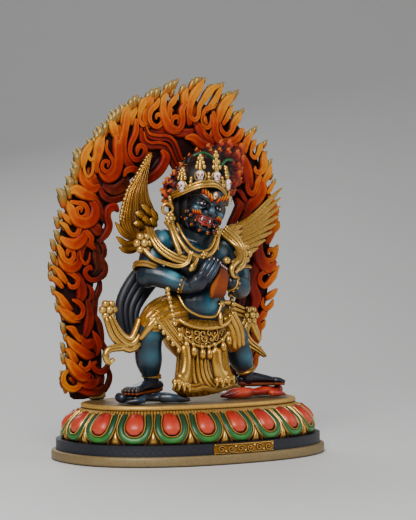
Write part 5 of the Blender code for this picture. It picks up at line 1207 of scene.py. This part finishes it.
# The wings
wing = {
    # viewer's left, seen almost from its edge: its outer and inner edge as (x, height)
    "outerEdge": [(-13.4, 80.9), (-16, 77.4), (-19, 72.8), (-22.1, 68.3), (-23.9, 62.8), (-24.7, 59),
                  (-23.4, 55.6), (-19.8, 52.6)],
    "innerEdge": [(-13.5, 80.3), (-14.6, 75.8), (-15.2, 70.9), (-14.6, 66.2), (-12.9, 62.5), (-11.6, 59.2),
                  (-13, 56.2), (-15.8, 53.4)],
    "quills": 8,
    # its loose feathers as root, bend and tip, and its short ones as root and tip
    "loose": (((-17.8, 52.8), (-23, 54), (-26.6, 57.9)), ((-17.6, 51.4), (-22.6, 51), (-26.2, 53.3)),
              ((-17.6, 49.9), (-21.8, 48.9), (-25.2, 49.9)), ((-17.2, 53.8), (-21.4, 55.2), (-24.4, 58.2))),
    "short": (((-14.6, 60.6), (-17.9, 63.6)), ((-12, 59), (-15.2, 62.2)), ((-17.2, 59.4), (-20.2, 61)),
              ((-15, 57.4), (-18.2, 59.8)), ((-17.6, 56.4), (-20.8, 57.6)), ((-12.4, 57), (-15.2, 58.8))),
    # viewer's right: the fan's long quills as root, bend and tip
    "fan": (((9.6, 1.6, 54.2), (24.5, 2, 58.8), (38.4, 1.7, 70.4)),
            ((9.9, 1.5, 53.6), (24.4, 1.9, 57.2), (37.7, 1.6, 67)),
            ((10.2, 1.4, 53), (24, 1.8, 55.8), (37.4, 1.5, 64)),
            ((10.4, 1.3, 52.3), (23.4, 1.7, 54.2), (36.8, 1.4, 61)),
            ((10.6, 1.2, 51.6), (22.8, 1.5, 52.6), (35.6, 1.2, 58.2)),
            ((10.8, 1, 50.8), (21.8, 1.2, 50.8), (33.6, 0.9, 55.4)),
            ((11, 0.8, 50), (20.6, 0.8, 49), (30.6, 0.5, 52.6)),
            ((11.2, 0.6, 49.2), (19.4, 0.4, 47.2), (27.2, 0.2, 49.8)),
            ((11.4, 0.4, 48.4), (18.2, 0.1, 45.6), (24, -0.1, 47))),
    "coverRows": 2, "coversInRow": 6,
}


def feather(root, bend, tip, wide, tone=(0.35, 0.55, 0.8)):
    # a blade along a bent path, narrow at both ends, with a raised quill along its front
    path = smoothPath([root, bend, tip], 4)
    share = np.linspace(0, 1, len(path))
    width = wide * np.interp(share, (0, 0.25, 0.8, 1), (0.55, 1, 0.85, 0.22))
    shade = np.interp(share, (0, 0.5, 1), tone)
    return [strand(path, width, 0.62, sides=10, steps=2, tone=shade),
            strand(path + (0, -0.62, 0), width * 0.2, 0.32, sides=6, steps=2,
                   tone=np.minimum(shade + 0.2, 1))]


# quills run down side by side: place = (1 - share) * outer edge + share * inner edge
wings = []
outerEdge, innerEdge = np.array(wing["outerEdge"]), np.array(wing["innerEdge"])
spread = np.linalg.norm(outerEdge - innerEdge, axis=1) / wing["quills"]
wingPoints = len(outerEdge)
# painted shade: the left wing's quills darken from tone 0.3 at the top to 0 at the foot, and its loose and
# short feathers are kept dark as well
for k in range(wing["quills"]):
    share = (k + 0.5) / wing["quills"]
    flat = (1 - share) * outerEdge + share * innerEdge
    path = np.stack([flat[:, 0], 3.9 - 0.5 * (k % 2) - 0.09 * np.arange(wingPoints), flat[:, 1]], -1)
    wings.append(strand(path, 0.25 + spread * 0.62, 0.9, sides=12, steps=6, square=0.8,
                        tone=np.linspace(0.3, 0.0, wingPoints), channel=0.3))
    wings.append(strand(path + (0, -0.75, 0), 0.1 + spread * 0.12, 0.4, sides=8, steps=6,
                        tone=np.linspace(0.4, 0.05, wingPoints)))
for k, (x, z) in enumerate(smoothPath(outerEdge[:6], 4)[1:]):
    # beads along the outer edge, in pairs
    big = 0.5 + 0.2 * math.sin(k * 1.3) ** 2
    wings.append(ball((x - 0.2, 3.2, z), (big, big, big * 0.9), 5, 8, 0.7))
    wings.append(ball((x + 0.65, 2.8, z - 0.35), (big * 0.7,) * 3, 5, 8, 0.5))
for places in wing["loose"]:
    wings += feather(*((x, 3.4, z) for x, z in places), 1.25, (0.15, 0.15, 0.4))
for low, high in wing["short"]:
    wings += feather((low[0], 1.6, low[1]), ((low[0] + high[0]) / 2, 1.3, (low[1] + high[1]) / 2 + 0.5),
                     (high[0], 1.8, high[1]), 1.25, (0.2, 0.35, 0.6))
for root, bend, tip in wing["fan"]:
    wings += feather(root, bend, tip, 1.4, (0.3, 0.6, 0.95))
for row in range(wing["coverRows"]):
    # short feathers over the roots of the fan
    for f in np.linspace(0, 1, wing["coversInRow"]):
        root = np.array((10.4 + 0.6 * f, 0.2 - 0.6 * row, 54.0 - 5.2 * f))
        wings += feather(root, root + (5.2 - row, -0.2, 1.4 - 2.2 * f),
                         root + (10.6 - 3.8 * row - 1.5 * f, 0, 3.6 - 4.6 * f), 1.5, (0.5, 0.65, 0.8))
makePiece("wings", wings, goldPaint)
print("wings made")


# The head, drawn as (right, forward, up) round its middle, then turned, rolled and pitched
head = {
    "middle": (0.7, -6.2, 63.1), "turn": 12, "roll": 17, "pitch": 5, "grain": 0.26, "soften": 2,
    # airbrushed lights on the face: right, forward, up, reach and strength
    "lights": ((0, 8.6, 6.2, 2.2, 0.45), (-4.2, 6.6, -1.2, 1.9, 0.85), (4.2, 6.6, -1.2, 1.9, 0.85),
               (0, 9.8, -0.6, 1.4, 1), (-1.6, 8.6, -1.6, 1, 0.7), (1.6, 8.6, -1.6, 1, 0.7),
               (-3.4, 6.8, 5.4, 1.8, 0.6), (3.4, 6.8, 5.4, 1.8, 0.6), (0, 8, -6.6, 1.4, 0.35),
               (0, 8.2, 1.8, 1, 0.6)),
    "browFlames": 4, "whiskers": 4, "teeth": 4,
    # rows of beard curls: height, how far out, count and size
    "beardRows": ((-4.8, 0.1, 10, 0.95), (-7, 0.2, 8, 0.9)),
}
yaw, roll, pitch = (math.radians(head[key]) for key in ("turn", "roll", "pitch"))
pitched = [[1, 0, 0], [0, math.cos(pitch), -math.sin(pitch)], [0, math.sin(pitch), math.cos(pitch)]]
rolled = [[math.cos(roll), 0, -math.sin(roll)], [0, 1, 0], [math.sin(roll), 0, math.cos(roll)]]
yawed = [[math.cos(yaw), -math.sin(yaw), 0], [-math.sin(yaw), -math.cos(yaw), 0], [0, 0, 1]]
headTurn = np.array(pitched) @ np.array(rolled) @ np.array(yawed)


def onHead(parts):
    # place = drawn place @ turn + middle
    return [moved(part, lambda spots: spots @ headTurn + head["middle"]) for part in parts]


# skull, jaw, nose, upper lip and chin, then what comes in pairs: nostril, cheek, brow, lid and ear
face = [ball((0, 0, 1), (7, 7.4, 8), 14, 22), ball((0, 2, -4.4), (5.7, 5.4, 4.6), 12, 18),
        strand([(0, 7.2, 3.2), (0, 8, 0.8), (0, 9, -0.9), (0, 9.1, -1.7)], [0.8, 0.85, 1.25, 1.2],
               [0.8, 1, 1.1, 0.8], (0, 1, 0.2)),
        strand([(-3.6, 5.9, -3.2), (-1.6, 7.4, -2.6), (0, 7.8, -2.7), (1.6, 7.4, -2.6), (3.6, 5.9, -3.2)], 1,
               sides=10),
        ball((0, 6.2, -6.9), (2.2, 1.5, 1.3), 8, 12)]
for side in (-1, 1):
    face += [ball((side * 1.35, 8.1, -1.75), (0.95, 0.95, 0.75), 7, 10),
             ball((side * 3.7, 5.3, -1.4), (2.4, 2, 1.7), 9, 14),
             strand([(side * 5.9, 3.9, 3), (side * 4, 6.2, 3.2), (side * 2, 7.6, 2.6),
                     (side * 0.7, 8, 1.7)], [0.7, 1.05, 1.1, 0.7], sides=10),
             strand([(side * 5.2, 4.9, -0.6), (side * 3.4, 6.7, -0.9), (side * 1.6, 7.3, -0.2)],
                    [0.55, 0.6, 0.4], sides=9),
             ball((side * 7, 0.2, 0), (1, 1.7, 2.7), 8, 12)]
faceMesh = melted("face", onHead(face), head["grain"], head["soften"], baseTop)
faceSpots = (spotsOf(faceMesh, baseTop) - head["middle"]) @ headTurn.T
writeMark(faceMesh, "tone", 0.08 + 0.85 * glowOf(faceSpots, head["lights"]))
facePaint = paint("blue grey face", ((0, (0.002, 0.003, 0.005)), (0.35, (0.005, 0.013, 0.021)),
        (0.65, (0.020, 0.060, 0.090)), (1, (0.11, 0.22, 0.29))), (0.001, 0.002, 0.004), rough=0.34,
        reach=1.2, shadeAndWashAmount=0.85, speck=0.06, coat=0.25)
finishPiece("face", faceMesh, facePaint)

# the third eye stands upright on the brow, in a rim of two painted strands
whites = [ball((0, 8.1, 4.2), (0.6, 0.45, 1.15), 8, 12, 0.9)]
pupils = [ball((0, 8.45, 4.15), (0.28, 0.2, 0.4), 6, 10, 0.6)]
mouth = [ball((-0.7, 7.3, -4.4), (2.7, 1, 1), 8, 14, 0), ball((-0.7, 8, -4.85), (1.2, 0.5, 0.36), 8, 12, 0.3)]
teeth = [ball(((k - (head["teeth"] - 1) / 2) * 0.5 - 0.6, 8.2, -3.85), (0.2, 0.16, 0.18), 5, 8, 1)
         for k in range(head["teeth"])]
beard, fiery = [], []
for side in (-1, 1):
    eye = np.array((side * 2.75, 6.85, 0.75))
    whites.append(ball(eye, (1, 0.6, 0.55), 8, 12, 0.45))
    pupils += [ball(eye + (0.05 * side, 0.45, 0), (0.42, 0.26, 0.42), 6, 10, 0.2),
               strand([eye + (-1.3 * side, 0.3, 0.25), eye + (0, 0.7, 0.75), eye + (1.3 * side, -0.2, 0.1)],
                      0.26, sides=8, tone=0.1),
               strand([eye + (-1.2 * side, 0.3, -0.1), eye + (0, 0.5, -0.6), eye + (1.2 * side, -0.2, -0.1)],
                      0.2, sides=8, tone=0.1)]
    fiery.append(strand([(0, 8.1, 2.95), (side * 0.66, 8.2, 3.6), (side * 0.66, 8.05, 4.8), (0, 7.7, 5.5)],
            0.2, sides=7, tone=1.0))
    for f in np.linspace(0, 1, head["browFlames"]):
        # brow: short flames side by side, longer towards the temple
        root = np.array((side * (0.9 + 3.0 * f), 8.3 - 1.5 * f, 2.3 + 1.4 * f))
        fiery.append(strand([root, root + (side * 0.3, 0.5, 0.8), root + (side * 0.9, 0.1, 2.1 + 0.3 * f)],
                            np.array((0.66, 0.6, 0.18)) * (1 if side < 0 else 0.8), sides=9, steps=4,
                            tone=(0.3, 0.6, 1.0)))
    for f in np.linspace(0, 1, head["whiskers"]):
        # whiskers curling up from the corner of the mouth
        root = np.array((side * (2.5 + 1.9 * f), 7.4 - 1.3 * f, -2.9 - 0.2 * f))
        fiery.append(strand([root, root + (side * 0.5, 0.35, 0.4), root + (side * 0.9, 0.1, 1.2)],
                            [0.52, 0.5, 0.2], sides=8, steps=4, tone=(0.2, 0.5, 1)))
    # an upper and a lower fang
    teeth += [strand([(side * 1.35 - 0.6, 8.1, -3.6), (side * 1.45 - 0.6, 8.3, -4.2),
            (side * 1.4 - 0.6, 8.2, -4.8)], [0.26, 0.2, 0.06], sides=8, steps=3, tone=1),
              strand([(side * 0.9 - 0.6, 8, -5.3), (side * 0.95 - 0.6, 8.1, -4.9),
            (side * 0.9 - 0.6, 8, -4.5)], [0.16, 0.13, 0.05], sides=8, steps=3, tone=1)]
for rise, drop in ((-3.3, -3.4), (-5.2, -5.6)):
    # the two lips
    mouth.append(strand([(-3.6, 6.5, -3.9), (-2.3, 7.8, rise), (-0.5, 8.5, drop), (1.2, 8, rise),
            (2.3, 6.9, -4.2)], [0.25, 0.4, 0.45, 0.4, 0.25], sides=10, tone=0.12))
for drop, out, count, size in head["beardRows"]:
    # beard curls round the jaw, each with a red and yellow spiral on it
    for angle in np.radians(np.linspace(-104, 104, count)):
        spot = np.array((5.5 * math.sin(angle), 2.0 + 5.4 * math.cos(angle) + out,
                         drop + 1.9 * math.sin(angle) ** 2 - 0.9 * math.cos(angle)))
        beard.append(gem(spot, size, 0.2, 7, 10))
        turn = np.linspace(0, 4.2, 7)
        swirl = np.stack([spot[0] + 0.36 * np.cos(turn), np.full(7, spot[1]), spot[2] + 0.36 * np.sin(turn)],
                -1)
        swirl += unit(spot * (1, 1, 0.3)) * size * 0.82
        fiery.append(strand(swirl, np.linspace(0.3, 0.2, 7), sides=7, steps=2, tone=np.linspace(0.1, 1, 7)))
makePiece("eye_whites", onHead(whites), bonePaint)
makePiece("teeth", onHead(teeth), bonePaint)
makePiece("pupils", onHead(pupils), nightPaint)
makePiece("mouth", onHead(mouth), coralPaint)
makePiece("brows_and_whiskers", onHead(fiery), flamePaint)

# The hair: locks that rise from the crown's band and sweep towards the viewer's right
hair = {
    "middle": (1.8, 68.0),
    "tips": ((-11.6, 64.6), (-12.2, 68), (-10.6, 71.6), (-8, 74.6), (-5.2, 77.4), (-1.6, 80.4), (2.4, 82.6),
             (6.8, 83.8), (11.2, 85), (15.4, 85.4), (19.4, 84.2), (20.6, 80.6), (20.2, 76.6), (18.8, 72.8),
             (16.8, 69.4)),
    "rows": ((1, -2.2), (0.86, -4.2), (0.88, 1.6), (0.70, -5), (0.72, 3.4)),  # how long, and how far back
    "combed": (-0.62, 0, 0.62), "behind": 12,
}
locks = [ball((2.6, -2.6, 72), (8.4, 7.2, 7.6), 14, 20, 0.05), ball((0.8, -1.6, 63.5), (7.2, 6.4, 9), 12, 18,
        0.05)]
midX, midZ = hair["middle"]
for row, (long, y) in enumerate(hair["rows"]):
    for x, z in hair["tips"][row % 2:]:
        root = np.array((midX + 0.36 * (x - midX), y * 0.9, midZ + 0.36 * (z - midZ)))
        tip = np.array((midX + long * (x - midX), y * 0.7, midZ + long * (z - midZ))) + dice.uniform(-0.5,
                0.5, 3)
        bend = (root + tip) / 2 + np.array((-1.3, -0.5, 0.6)) * (1 if x > -6 else 0.3)
        way = unit(tip - root)
        aside = np.array((way[2], 0.0, -way[0]))
        sway = aside * (1 if x > -3 else -1)
        locks.append(strand([root, bend, (bend + tip) / 2 + 0.5 * sway, tip - 1.6 * way + 0.5 * sway,
                tip - 0.4 * way - 0.3 * sway, tip + 0.6 * way - 0.1 * sway], [1.3, 1.6, 1.75, 1.5, 0.9, 0.2],
                [1.2, 1.4, 1.4, 1.2, 0.7, 0.2], sides=14, steps=5, tone=(0, 0.08, 0.35, 0.62, 0.85, 1),
                channel=0.34))
        comb = np.array([root, bend, (bend + tip) / 2 + 0.5 * sway, tip - 1.8 * way]) + (0, -1.15, 0)
        for off in hair["combed"]:
            locks.append(strand(comb + off * aside, [0.2, 0.26, 0.24, 0.1], sides=6, steps=4,
                                tone=(0.15, 0.2, 0.45, 0.7)))
for angle in np.radians(np.linspace(-150, 150, hair["behind"])):
    top = np.array((0.8 + 6.8 * math.sin(angle), -2.2 + 6.0 * math.cos(angle), 68.0))
    locks.append(strand([top, top + (1.0 * math.sin(angle), 0.8 * math.cos(angle), -5.5),
            top + (0.4 * math.sin(angle), 0.6, -11)], [1.7, 1.7, 0.9], sides=10, tone=(0.0, 0.05, 0.1)))
hairPaint = paint("dark hair with fire tips",
                  ((0, (0.004, 0.003, 0.003)), (0.25, (0.014, 0.005, 0.004)), (0.45, (0.20, 0.006, 0.002)),
                   (0.7, (0.42, 0.030, 0.002)), (1, (0.60, 0.16, 0.004))), (0.004, 0.002, 0.002), rough=0.5,
                  reach=1.6, footShadeAndWash=1, shadeAndWashAmount=0.95, footReach=0.75, gloss=0.3, clearAt=0.95)
makePiece("hair", locks, hairPaint)
makePiece("beard", onHead(beard), nightPaint)

# The crown: a band of three strands, five skulls with leaves above and between them, and earrings
crown = {
    "band": [(-9, -1, 65.6), (-9.8, -4.4, 66.6), (-9.2, -9, 67.8), (-7, -12.2, 69.3), (-3.9, -14, 70.2),
             (0.7, -13.8, 70.2), (5.5, -11.2, 68.6), (9.2, -7, 66.4), (9.8, -2.4, 64.4)],
    "strands": ((0, 0.75), (1.15, 0.5), (-1, 0.42)),  # height and thickness
    "axis": (1.4, -4.0),  # where the skulls turn their backs
    "skulls": [(-9, -9, 69.6), (-4.6, -12.8, 73), (1.2, -13.2, 72.7), (7.3, -10, 70.6), (10, -6.2, 65.6)],
    "leafHeights": (3.6, 4.4, 6, 3.4, 2.4),
    "ribbons": (((-4.4, -8.6, 79.6), (-1.6, -9.4, 80.6), (1.6, -9.6, 79.6), (3.4, -10, 77.6)),
                ((6.4, -8.4, 76.6), (9.2, -7.4, 78.6), (12.4, -6.2, 78.8)),
                ((8.2, -8.8, 76), (9.2, -9, 73.6))),
    "earrings": ((-11.8, -4.6, 60.8, 1), (2.9, -9.6, 56.4, 0.9)),  # place and size
    "cord": ((-10.9, -4.4, 66), (0.1, -0.1, -0.9), 4),  # first bead, step and count
}


def awayFromHead(spot):
    # the level direction from the crown's axis to a point
    return unit((spot - (*crown["axis"], spot[2])) * (1, 1, 0))


bandPath = np.array(crown["band"])
crownGold = [strand(bandPath + (0, 0, 0.8 * off), 0.78 * fat, fat * 0.75, sides=9, tone=0.75)
             for off, fat in crown["strands"]]
skulls, marks = [], []
skullSpots = np.array(crown["skulls"])
for spot, tall in zip(skullSpots, crown["leafHeights"]):
    out = awayFromHead(spot)
    side = np.array((-out[1], out[0], 0)) * (1 if out[1] < 0 else -1)
    # dome and jaw, then red sockets, nose and mouth
    skulls += [ball(spot + out * 0.6 + (0, 0, 0.3), (1.25, 1.3, 1.35), 9, 12, 1),
               ball(spot + out * 0.7 + (0, 0, -1), (0.85, 0.95, 0.95), 7, 10, 1)]
    marks += [ball(spot + out * 1.72 + side * s * 0.55 + (0, 0, 0.2), (0.36, 0.36, 0.4), 6, 8,
                   0.4) for s in (-1, 1)]
    marks += [ball(spot + out * 1.8 + (0, 0, -0.45), (0.17, 0.26, 0.24), 5, 7, 0.4),
              strand([spot + out * 1.5 - side * 0.5 + (0, 0, -1.15), spot + out * 1.68 + (0, 0, -1.3),
                      spot + out * 1.5 + side * 0.5 + (0, 0, -1.15)], 0.17, sides=6, steps=3, tone=0.4)]
    for s in (-1, 0, 1):
        for level in (0.25, 0.6, 1.0):
            # a leaf of beads that draws together towards its top
            rise = 1.9 + tall * level * (1 - 0.18 * abs(s))
            crownGold.append(ball(spot + (0, 0,
                    rise) + side * s * 1.25 * (1.15 - level * 0.75) + out * (0.5 - 0.5 * level),
                    (0.62, 0.55, 0.8), 5, 8, 0.75))
    crownGold += [strand([spot + (0, 0, 1.6) + out * 0.4, spot + (0, 0, 1.6 + tall * 0.6),
            spot + (0, 0, 2.6 + tall) - out * 0.6], [0.9, 0.7, 0.25], 0.6, sides=8, tone=0.7),
                  ringOf(spot + (0, 0, -0.2) + out * 0.2, out, 1.75, 0.3)]
for low in (skullSpots[:-1] + skullSpots[1:]) / 2:
    for level in (0.0, 1.2, 2.3):
        crownGold.append(ball(low + awayFromHead(low) * (0.9 - 0.2 * level) + (0, 0, -1.6 + level),
                (0.85 - 0.15 * level, 0.6, 0.75), 5, 8, 0.7))
for x, y, z, big in crown["earrings"]:
    crownGold += [ringOf((x - 0.5, y - 0.6, z + 1.6), (0.3, 1, 0.1), 1.75 * big, 0.5),
                  *rosette((x + 0.4, y - 1, z - 1.6), 1.25 * big, 0.8),
                  gem((x + 0.6, y - 0.8, z - 4.2), 1, 0.8), strand([(x + 0.5, y - 0.8, z - 4.8),
            (x + 0.9, y - 0.8, z - 7.2)], [0.8, 0.4], sides=8, tone=0.7)]
first, step, count = crown["cord"]
crownGold += [gem(np.array(first) + k * np.array(step), 0.7) for k in range(count)]
ribbons = [strand(path, 0.5, 0.45, sides=8, tone=0.5) for path in crown["ribbons"]]
makePiece("crown", crownGold, goldPaint)
makePiece("skulls", skulls, bonePaint)
makePiece("skull_marks", marks, coralPaint)
makePiece("ribbons", ribbons, greenPaint)
print("head made")


# The two trampled figures: where the head and the feet lie, and which way the body bends
prone = {"blue": ((-30, -5, 0), (-9, -11.2, 0), 1), "red": ((32.4, -5, 0), (9, -7.4, 0), -1), "highest": 4.0}


def trampled(name, places, finish, node):
    # a figure lying face down, drawn as (share of its length, off to the side, height)
    headSpot, feetSpot = (np.array(spot, float) for spot in places[:2])
    along = feetSpot - headSpot
    aside = unit(np.array([-along[1], along[0], 0])) * places[2]

    def at(share, off, height):
        # head + along * share + aside * off, raised by the height
        return headSpot + along * share + aside * off + (0, 0, height)

    def limb(route, wide, tone):
        # a strand through such places
        return strand([at(*spot) for spot in route], wide, facing=(0, 0, 1), tone=tone)

    # head, hair, trunk and buttocks
    parts = [
        ball(at(0.03, 0, 2), (2, 1.9, 1.7), 9, 12, 0.5),
        ball(at(0, 0.3, 2.2), (1.6, 1.7, 1.6), 8, 10, 0.2),
        strand([at(0.12, 0, 1.9), at(0.28, 0, 2.1), at(0.46, 0, 1.8), at(0.6, 0, 2)], [2, 2.8, 2.1, 2.5],
               [1.5, 1.5, 1.2, 1.5], (0, 0, 1), 14, tone=(0.3, 0.7, 0.4, 0.7)),
        ball(at(0.6, 1, 2.3), (1.7, 1.6, 1.2), 8, 12, 0.7),
        ball(at(0.6, -1, 2.3), (1.7, 1.6, 1.2), 8, 12, 0.7),
    ]
    for side in (-1, 1):
        parts.append(limb(((0.18, 2.2 * side, 1.9), (0.30, 4.0 * side, 1.5), (0.20, 4.6 * side, 1.3),
                           (0.06, 4.0 * side, 1)), [1.15, 1, 0.9, 0.6], (0.4, 0.75, 0.6, 0.3)))
        parts.append(limb(((0.60, 1.3 * side, 1.9), (0.76, 2.8 * side, 1.8), (0.9, 2.0 * side, 1.3),
                           (1.02, 1.3 * side, 1)), [1.6, 1.35, 1, 0.6], (0.5, 0.8, 0.5, 0.3)))
        for finger in range(3):
            parts.append(strand([at(0.07, (3.7 + 0.3 * finger) * side, 0.9),
                    at(0.03, (3.4 + 0.6 * finger) * side, 0.7)], [0.4, 0.25], sides=7, steps=2, tone=0.6))
    for part in parts:
        part["verts"][:, 2] = np.clip(part["verts"][:, 2], 0.0, prone["highest"])
    makePiece(name, parts, finish, (node,))


trampled("blue_figure", prone["blue"], nightPaint, "trampled_figure_blue")
trampled("red_figure", prone["red"], coralPaint, "trampled_figure_red")
print("trampled figures made")


# Floor, light and camera
view = {"turn": 34, "far": 570, "eye": 63.9, "aside": 5.8, "focal": 3.035 * 570}
angle = math.radians(view["turn"])
back = Vector((-math.sin(angle), -math.cos(angle), 0))
across = Vector((math.cos(angle), -math.sin(angle), 0))
cameraData = bpy.data.cameras.new("camera")
cameraData.lens = view["focal"] * 36 / 520
cameraData.sensor_width = 36
camera = bpy.data.objects.new("camera", cameraData)
camera.location = (back * view["far"] + across * view["aside"] + Vector((0, 0, view["eye"]))) * mm
camera.rotation_euler = (-back).to_track_quat("-Z", "Y").to_euler()
bpy.context.scene.collection.objects.link(camera)
bpy.context.scene.camera = camera

# the floor runs back and turns up into a wall: a quarter circle between two flat strips
cove = {"wide": 2.4, "front": -1.2, "turnAt": 0.35, "radius": 0.6, "high": 1.8, "steps": 24}
bends = np.linspace(0, math.pi / 2, cove["steps"])
run = np.concatenate([[cove["front"]], cove["turnAt"] + cove["radius"] * np.sin(bends),
        [cove["turnAt"] + cove["radius"]]])
rise = np.concatenate([[0.0], cove["radius"] * (1 - np.cos(bends)), [cove["high"]]])
strip = np.stack([np.repeat([[-cove["wide"], cove["wide"]]], len(run), 0),
                  np.repeat(run[:, None], 2, 1), np.repeat(rise[:, None], 2, 1)], -1)
turned = np.array([[math.cos(angle), -math.sin(angle), 0], [math.sin(angle), math.cos(angle), 0], [0, 0, 1]])
strip = strip @ turned
start = np.arange(len(run) - 1)[:, None] * 2
floorMesh = bpy.data.meshes.new("floor")
floorMesh.from_pydata(strip.reshape(-1, 3), [], np.hstack([start, start + 1, start + 3, start + 2]).tolist())
floorMesh.polygons.foreach_set("use_smooth", np.ones(len(floorMesh.polygons), bool))
floor = bpy.data.objects.new("floor", floorMesh)
bpy.context.scene.collection.objects.link(floor)
floorPaint = bpy.data.materials.new("pale floor")
floorPaint.use_nodes = True
floorPaint.node_tree.nodes["Principled BSDF"].inputs["Base Color"].default_value = (0.70, 0.70, 0.69, 1)
floorPaint.node_tree.nodes["Principled BSDF"].inputs["Roughness"].default_value = 0.7
floorMesh.materials.append(floorPaint)
sky = bpy.data.worlds.new("studio")
sky.use_nodes = True
sky.node_tree.nodes["Background"].inputs["Color"].default_value = (0.72, 0.73, 0.75, 1)
sky.node_tree.nodes["Background"].inputs["Strength"].default_value = 0.18
bpy.context.scene.world = sky
lamps = {"key": ((-0.35, -0.42, 0.48), 0.34, 5.2), "fill": ((0.50, -0.30, 0.30), 0.45, 0.9),
         "back": ((0.1, 0.5, 0.45), 0.40, 1.6)}
for name, (spot, size, power) in lamps.items():
    lampData = bpy.data.lights.new(name, "AREA")
    lampData.size, lampData.energy = size, power
    lamp = bpy.data.objects.new(name, lampData)
    lamp.location = spot
    lamp.rotation_euler = (Vector((0, 0, 0.06)) - Vector(spot)).to_track_quat("-Z", "Y").to_euler()
    bpy.context.scene.collection.objects.link(lamp)
print("stage set")
